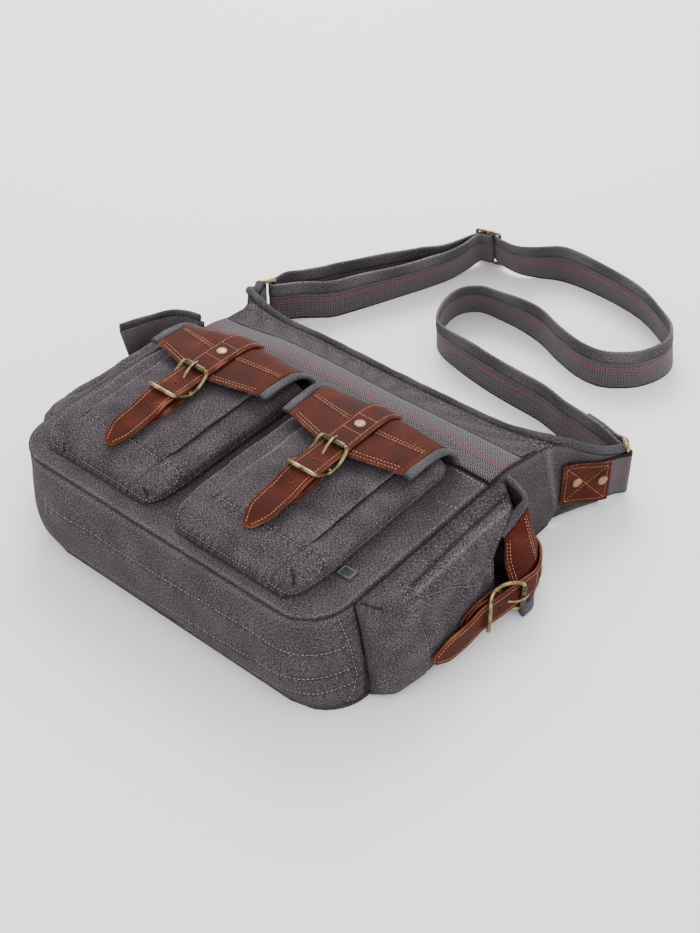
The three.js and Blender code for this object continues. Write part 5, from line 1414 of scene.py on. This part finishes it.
    def rivet(self):
        """The domed cap that holds the strap to the flap."""
        lower = int(np.argmax((self.over[:, 0] < self.rivet_up) & (np.arange(len(self.over)) > 0)))
        above, below = self.over[lower - 1], self.over[lower]
        down = unit(below - above)
        spot = mix(above, below, (above[0] - self.rivet_up) / (above[0] - below[0]))
        spot = spot + np.array([down[1], -down[0]]) * (STRAP_THICK / 2 - 0.1)
        rivet_cap(f"rivet_{self.name}_cap", self.axes(down), self.set_out(spot)[0], f"rivet_{self.name}")


# Ears, rings and their tabs

# How far the ear's tab and patch lie from its canvas, and the patch's sewn line from its edge
ON_TAB = CANVAS / 2 + GAP + 1.0
ON_PATCH = ON_TAB + 1.0 + LAYER + 1.0
PATCH_INSET = 3.6

# How far the tab's loop and the strap's loop are drawn toward each other inside a ring
TAB_SLACK = {"left": 3.0, "right": 0.0}
STRAP_SLACK = {"left": 1.8, "right": 0.0}


def ear_line(end, along):
    """A place on the middle of an ear's canvas, over the ground, at a share of the ear's length."""
    out = np.interp(along, EAR_ROWS[:, 0], (EAR_ROWS[:, 1] + EAR_ROWS[:, 2]) / 2)
    return np.array([end["side"] * (HALF + 40 * out - CANVAS / 2), RIM + end["length"] * along, 0.0])


def end_pins(end):
    """The ear's tip and its way outward, and the ring's two upright wires: the tab's and the strap's."""
    tip = ear_line(end, 1)
    way = unit(tip - ear_line(end, 0.9))
    tab_pin = tip + way * RING_TIP
    angle = np.radians(end["ring"])
    return tip, way, tab_pin, tab_pin + RING_LONG * np.array([np.cos(angle), np.sin(angle), 0])


def layer_on_ear(end, shares, offset):
    """Places at an offset outward from the ear's canvas; they lie a little higher near the mouth."""
    found = []
    for along in shares:
        tangent = unit(ear_line(end, min(along + 0.04, 1)) - ear_line(end, along - 0.04))
        outward = np.array([tangent[1], -tangent[0], 0]) * end["side"]
        place = ear_line(end, along) + outward * offset
        place[2] = TAB_LOW + 10 * (1 - ramp(along, 0.20, 0.84))
        found.append(place)
    return found


def upright_skin(path, side, heights, lean=None):
    """A standing strip: a path over the ground, and heights up it. Its outside is on the given side."""
    if side > 0:
        heights = heights[::-1]
    grid = path[:, None] + UPRIGHT * heights[None, :, None]
    skin = Skin(grid if lean is None else lean(grid))
    skin.cloth = np.stack(np.meshgrid(heights, run_of(path)), -1)[..., ::-1] * METRES
    return skin


def wire_rectangle(half_x, half_y, radius, wire, axes, centre, bar=False):
    """A wire bent into a rectangle, and its middle bar if it has one, set by two axes at a centre."""
    flat = round_rectangle((-half_x, -half_y), (half_x, half_y), radius, 6, evenly(5), evenly(9))
    loop = centre + flat[:, :1] * axes[0] + flat[:, 1:] * axes[1]
    tangent = unit(np.roll(loop, -1, 0) - np.roll(loop, 1, 0))
    a, b = axes_along(loop, np.cross(tangent, np.cross(axes[0], axes[1])), True)
    points, faces = sweep_mesh(loop, a, b, round_section(wire, 14), True)
    if bar:
        line = centre + np.linspace(-half_y, half_y, 9)[:, None] * axes[1]
        more, more_faces = sweep_mesh(line, *axes_along(line, axes[0]), round_section(wire, 12))
        faces = faces + [group + len(points) for group in more_faces]
        points = np.vstack([points, more])
    return points, faces


def ear_patch(side):
    """One ear's leather patch, sewn round its rim and from corner to corner, with its two rivets."""
    end = ENDS[side]
    line = layer_on_ear(end, [0.20, 0.38, 0.5, 0.64, 0.76, 0.84], ON_PATCH)
    line = spaced(curve(np.array(line), 16), 48)
    skin = upright_skin(line, end["side"], np.linspace(0, WEB, 46))
    rows, columns = skin.points.shape[:2]
    row, column = np.meshgrid(np.arange(rows), np.arange(columns), indexing="ij")
    size = run_of(line)[-1] / (rows - 1)
    rim = np.minimum(np.minimum(row, rows - 1 - row) * size, np.minimum(column, columns - 1 - column))
    near_row, far_row = PATCH_INSET / size, rows - 1 - PATCH_INSET / size
    near_column, far_column = PATCH_INSET, columns - 1 - PATCH_INSET
    first, second, third, fourth = ((near_row, near_column), (near_row, far_column), (far_row, far_column),
                                    (far_row, near_column))
    sewn = [[first, second, third, fourth, first], [first, third], [second, fourth]]
    shade = 0.2 * ripples(skin.points, 82, 18) + 0.4 * bell(rim, 0.9)
    skin.raised(0.18 * ripples(skin.points, 81, 24), shade)
    for corners in sewn:
        skin.seam(corners, *GROOVE["ear"])
    cloth_piece(f"ear_patch_{side}_leather", skin, 1.7, COWHIDE, [f"ear_patch_{side}"], edge=0.65)
    lines = [skin.line(corners, 0.85) for corners in sewn]
    stitches(f"ear_patch_{side}_stitching", lines, LEATHER_THREAD, STITCH["ear"])
    for k, along in enumerate((0.40, 0.74)):
        a, b = layer_on_ear(end, [along - 0.05, along + 0.05], ON_PATCH + 1.0 + 0.05)
        facing = unit(np.array([(b[1] - a[1]) * end["side"], (a[0] - b[0]) * end["side"], 0]))
        axes = np.stack([np.cross(UPRIGHT, facing), UPRIGHT, facing], 1)
        node = f"ear_rivet_{k + 1}_{side}"
        rivet_cap(f"{node}_cap", axes, (a + b) / 2 + UPRIGHT * WEB * 0.55, node)


def ring_tab(side):
    """One ear's webbing tab: sewn under the patch, round the ring's near wire, and back inside the ear."""
    end = ENDS[side]
    _, way, tab_pin, strap_pin = end_pins(end)
    outward = np.array([way[1], -way[0], 0]) * end["side"]
    turn = WIRE_RING / 2 + LAYER + 1.0
    slack = unit(strap_pin - tab_pin) * TAB_SLACK[side]
    seat = tab_pin + np.array([0, 0, TAB_LOW])
    around = []
    for angle in np.radians((90, 60, 30, 0, -30, -60, -90)):
        round_wire = outward * turn * np.sin(angle) + way * turn * np.cos(angle)
        around.append(seat + round_wire + slack * np.cos(angle))
    outside = layer_on_ear(end, [0.31, 0.38, 0.5, 0.64, 0.76, 0.88, 0.97], ON_TAB)
    inside = layer_on_ear(end, [0.97, 0.88, 0.76, 0.62], -ON_TAB)
    path = spaced(curve(np.array(outside + around + inside), 12), 90)
    skin = upright_skin(path, end["side"], np.linspace(0, WEB, 19))
    skin.raised(0, 0.1 * ripples(skin.points, 83, 20))
    cloth_piece(f"ring_tab_{side}_webbing", skin, 1.85, STRAP_WEB, [f"ring_tab_{side}"])


def ring(side):
    """One ear's rectangular ring, standing between its tab and the strap."""
    _, _, tab_pin, strap_pin = end_pins(ENDS[side])
    along = unit(strap_pin - tab_pin)
    centre = (tab_pin + strap_pin) / 2 + UPRIGHT * (WIRE_LOW + RING_HEIGHT / 2)
    points, faces = wire_rectangle(RING_LONG / 2, RING_HEIGHT / 2, RING_CORNER, WIRE_RING / 2,
                                   (along, UPRIGHT), centre)
    shade = 0.35 + 0.3 * ripples(points, 84, 9)
    put_mesh(f"ring_{side}_brass", points, faces, BRASS, [f"ring_{side}"], shade=shade)


# The shoulder strap

# The strap's route over the ground, as shares of the bag's half width and of the strap's reach
BACK_LAYER = [(-1.235, 0.345), (-1.228, 0.40), (-1.185, 0.455), (-1.15, 0.525), (-1.105, 0.60),
              (-1.015, 0.71), (-0.925, 0.835), (-0.825, 0.955), (-0.735, 1.075)]
FRONT_LAYER = [(-1.10, 0.375), (-0.99, 0.485), (-0.90, 0.63), (-0.80, 0.81), (-0.71, 0.98), (-0.645, 1.15)]
LONG_RUN = [(-0.475, 1.272), (-0.36, 1.275), (-0.13, 1.358), (0.15, 1.37), (0.48, 1.33), (0.68, 1.255),
            (0.84, 1.165), (0.885, 1.06), (0.83, 0.93), (0.745, 0.862), (0.65, 0.82), (0.52, 0.815),
            (0.34, 0.853), (0.145, 0.912), (-0.02, 0.937), (-0.185, 0.943), (-0.32, 0.935), (-0.40, 0.87),
            (-0.40, 0.757), (-0.315, 0.625), (-0.225, 0.576), (-0.05, 0.537), (0.115, 0.512), (0.28, 0.496),
            (0.42, 0.488), (0.57, 0.478)]

# Its last places before the right ring, as widths of the webbing from the ring's far wire
RING_RUN = [(-1.714, 0.467), (-1.291, 0.385), (-0.753, 0.199)]

# Where the standing strap leans: the place, how far the lean reaches, and how far it leans for its height
LEANS = [((-0.59, 1.276), 0.37, (0.15, -0.40)), ((0.50, 1.25), 0.61, (-0.10, -0.16)),
         ((-0.40, 0.80), 0.45, (0.20, -0.36))]
SLIDER_LONG, SLIDER_CORNER = 26.0, 3.0

# The canvas strip over the strap: how far it stands out each side, and how low it reaches
COVER_OUT, COVER_LOW = 1.28, 30.6


def on_ground(across, up):
    """A place on the ground: shares of the bag's half width and of the strap's reach past the mouth."""
    return np.array([across * HALF, RIM + up * REACH, 0.0])


SLIDER_AT = on_ground(-0.59, 1.276)
SLIDER_WAY = np.array([np.cos(np.radians(14)), np.sin(np.radians(14)), 0.0])


def leaned(points):
    """The standing strap leans where it isn't held: each point moves over the ground with its height."""
    points = np.array(points, float)
    moved = points.copy()
    for place, reach, (x, y) in LEANS:
        far = reach * REACH
        away = np.linalg.norm(points[..., :2] - on_ground(*place)[:2], axis=-1)
        share = (1 - ramp(away, far * 0.25, far)) * points[..., 2]
        moved[..., 0] += x * share
        moved[..., 1] += y * share
    return moved


def arc(centre, way, radius, degrees):
    """Points on an arc about an upright wire; its angles start at the given way."""
    over = np.array([-way[1], way[0], 0])
    angles = np.radians(degrees)
    return [centre + way * radius * np.cos(t) + over * radius * np.sin(t) for t in angles]


def strap_path():
    """The strap's route: folded round the slider's middle bar, to the left ring, back through the slider, and
    on in a long loop to the right ring, where its end is sewn back."""
    half, layer = STRAP_THIN / 2, STRAP_THIN + GAP
    near = WIRE_SLIDER / 2 + GAP + half
    far = near + layer
    bar_near, bar_far = SLIDER_AT - SLIDER_WAY * SLIDER_LONG / 2, SLIDER_AT + SLIDER_WAY * SLIDER_LONG / 2
    steep = np.degrees(np.arcsin((near + far) / (SLIDER_LONG / 2)))
    pins = {side: end_pins(end) for side, end in ENDS.items()}

    def around_pin(side, degrees):
        """The strap's middle line round one ring, at each angle."""
        _, _, tab_pin, strap_pin = pins[side]
        way = unit(tab_pin - strap_pin)
        return arc(strap_pin + way * STRAP_SLACK[side], way, WIRE_RING / 2 + LAYER + half, degrees)
    at_ring = [np.array([x * WEB, y * WEB, 0]) + pins["right"][3] for x, y in RING_RUN]
    away = unit(at_ring[-2] - at_ring[-1])
    beside = at_ring[-1] + np.array([away[1], -away[0], 0]) * (layer + GAP)
    points = np.array([
        *arc(SLIDER_AT, SLIDER_WAY, near, (100, 70, 40, 10, -20, -50, -80)),
        *arc(bar_near, SLIDER_WAY, far, (-steep + 12,)),
        *[on_ground(*place) for place in FRONT_LAYER[::-1]], *around_pin("left", (80, 50, 20, -10, -35)),
        *[on_ground(*place) for place in BACK_LAYER], *arc(bar_near, SLIDER_WAY, near, (steep - 90,)),
        *arc(SLIDER_AT, SLIDER_WAY, far, (90 + steep, 115, 90, 65, 90 - steep)),
        *arc(bar_far, SLIDER_WAY, near, (-90 - steep, -115)),
        *[on_ground(*place) for place in LONG_RUN], *at_ring,
        *around_pin("right", (-60, -25, 10, 45, 80, 115)),
        *[beside + away * 40 * (share - 0.6) for share in (0, 0.5, 1)]])
    per = 24
    line = curve(points, per)
    kept = []
    for k, chord in enumerate(np.linalg.norm(np.diff(points, axis=0), axis=1)):
        steps = int(np.clip(np.ceil(chord / 2.6), 2, per))
        kept += [k * per + int(round(s * per / steps)) for s in range(steps)]
    line = line[kept + [len(line) - 1]]
    held = [SLIDER_AT, pins["right"][3], pins["left"][3]]
    share = np.max([1 - ramp(np.linalg.norm(line - pin, axis=1), 18, 70) for pin in held], axis=0)
    line[:, 2] = TAB_LOW * share
    return line


def shoulder_strap():
    """The webbing of the strap, a canvas strip folded over its upper edge, and the two lines of thread that
    sew the strip on."""
    line = strap_path()
    run = run_of(line)
    heights = np.concatenate([[0, 0.5], np.linspace(2, 43, 15), [44.2]])
    skin = upright_skin(line, -1, heights, leaned)
    # Painted shade darkens the webbing's lowest few millimetres, where it stands on the floor.
    low = 1 - ramp(heights, 1.0, 3.5)
    skin.raised(0, 0.2 * ripples(skin.points, 91, 30) - 0.6 * low[None])
    cloth_piece("strap_webbing", skin, 1.9, STRAP_WEB, ["shoulder_strap"])
    section = round_rectangle((-COVER_OUT, COVER_LOW), (COVER_OUT, WEB), 0.75, 2, evenly(4), evenly(4))
    wave = 0.25 * np.sin(run / 7.0 + 2 * np.sin(run / 31.0)) + 0.15 * np.sin(run / 3.1)
    section = np.repeat(section[None], len(line), 0)
    section[..., 1] += wave[:, None] * (section[..., 1] < 33)
    side = np.cross(UPRIGHT, unit(np.gradient(line * np.array([1, 1, 0]), axis=0)))
    rings = line[:, None] + side[:, None] * section[..., :1] + UPRIGHT * section[..., 1:]
    points, faces = tube_mesh(leaned(rings))
    tall = section[..., 1]
    # Painted shade along the cover's lower edge, where it meets the webbing, and a painted highlight along
    # its folded top.
    shade = 0.25 * np.sin(run / 13)[:, None] - 0.9 * bell(tall - COVER_LOW, 1.0) + 0.5 * bell(tall - WEB, 1.6)
    cloth = np.stack([np.repeat(run, tall.shape[1]), tall.ravel()], -1) * METRES
    put_mesh("strap_cover_canvas_strip", points, faces, COVER_CLOTH, cloth=np.vstack([cloth, cloth[-2:]]),
             shade=np.append(shade.ravel(), [0, 0]))
    lines = []
    for way in (-1, 1):
        base = line + side * (way * (COVER_OUT + 0.02)) + UPRIGHT * 33.2
        lines.append((leaned(base), side * way))
    stitches("strap_stitching", lines, DARK_THREAD, STITCH["cover"])


def slider():
    """The centre-bar slider of the strap, standing on edge and leaned with it."""
    centre = SLIDER_AT + UPRIGHT * (WIRE_LOW + RING_HEIGHT / 2)
    points, faces = wire_rectangle(SLIDER_LONG / 2, RING_HEIGHT / 2, SLIDER_CORNER, WIRE_SLIDER / 2,
                                   (SLIDER_WAY, UPRIGHT), centre, bar=True)
    shade = 0.3 + 0.3 * ripples(points, 92, 9)
    put_mesh("strap_slider_brass", leaned(points), faces, BRASS, ["strap_slider"], shade=shade)


def side_tag():
    """The small woven tag sewn in beside the right front pocket, left bare, with a sewn edge."""
    x0 = POCKETS["right"]["centre"] + POCKETS["right"]["wide"] / 2 + 3 * LAYER
    x, y = np.meshgrid(np.linspace(x0, x0 + 14, 29), np.linspace(BASE + 58.0, BASE + 70.0, 25))
    height = front_height(x, y) + LAYER + 0.6 + 0.15 * np.sin(x / 3)
    skin = Skin(np.stack([x, y, height], -1))
    cloth_piece("side_tag_weave", skin, 0.9, TAG_WEAVE, ["side_tag"])
    edging = skin.line([(3, 3), (3, 25), (21, 25), (21, 3), (3, 3)], 0.45)
    stitches("side_tag_edging", [edging], CANVAS_THREAD, STITCH["tag"])


def area_light(name, place, aim, size, power):
    """A square soft light."""
    data = bpy.data.lights.new(name, "AREA")
    data.shape, data.size, data.energy = "SQUARE", size, power
    light = bpy.data.objects.new(name, data)
    light.location = place
    light.rotation_euler = (Vector(aim) - Vector(place)).to_track_quat("-Z", "Y").to_euler()
    bpy.context.scene.collection.objects.link(light)


# The whole bag
front_panel()
back_panel()
gusset()
webbing_band()
ruffle_strip()
rim_bindings()
for pocket_name in POCKETS:
    pocket(pocket_name)
    flap(pocket_name)
    flap_bindings(pocket_name)
    fastening = Fastening(pocket_name)
    fastening.strap()
    fastening.buckle()
    fastening.billet()
    fastening.rivet()
for end_name in ENDS:
    ear_patch(end_name)
    ring_tab(end_name)
    ring(end_name)
slider()
shoulder_strap()
side_tag()

# Light and floor: soft daylight from all round, a key light from behind and a faint fill from the front
world = bpy.data.worlds.new("studio")
world.use_nodes = True
sky = world.node_tree.nodes["Background"]
sky.inputs["Color"].default_value = linear("ffffff")
sky.inputs["Strength"].default_value = 1.6
bpy.context.scene.world = world
area_light("key", (-0.9, 1.1, 1.5), (0, 0.05, 0), 1.0, 34)
area_light("fill", (1.4, -1.2, 1.3), (0, 0, 0.05), 1.6, 9)
ground = bpy.data.meshes.new("floor")
FLOOR_HALF = 6
corners = [(x * FLOOR_HALF, y * FLOOR_HALF, 0) for x, y in ((-1, -1), (1, -1), (1, 1), (-1, 1))]
ground.from_pydata(corners, [], [(0, 1, 2, 3)])
floor = bpy.data.objects.new("floor", ground)
floor_paint, floor_tree = empty_material("matt_white_table", "floor")
surface(floor_tree, linear("fbfbfc"), 0.9)
ground.materials.append(floor_paint)
bpy.context.scene.collection.objects.link(floor)
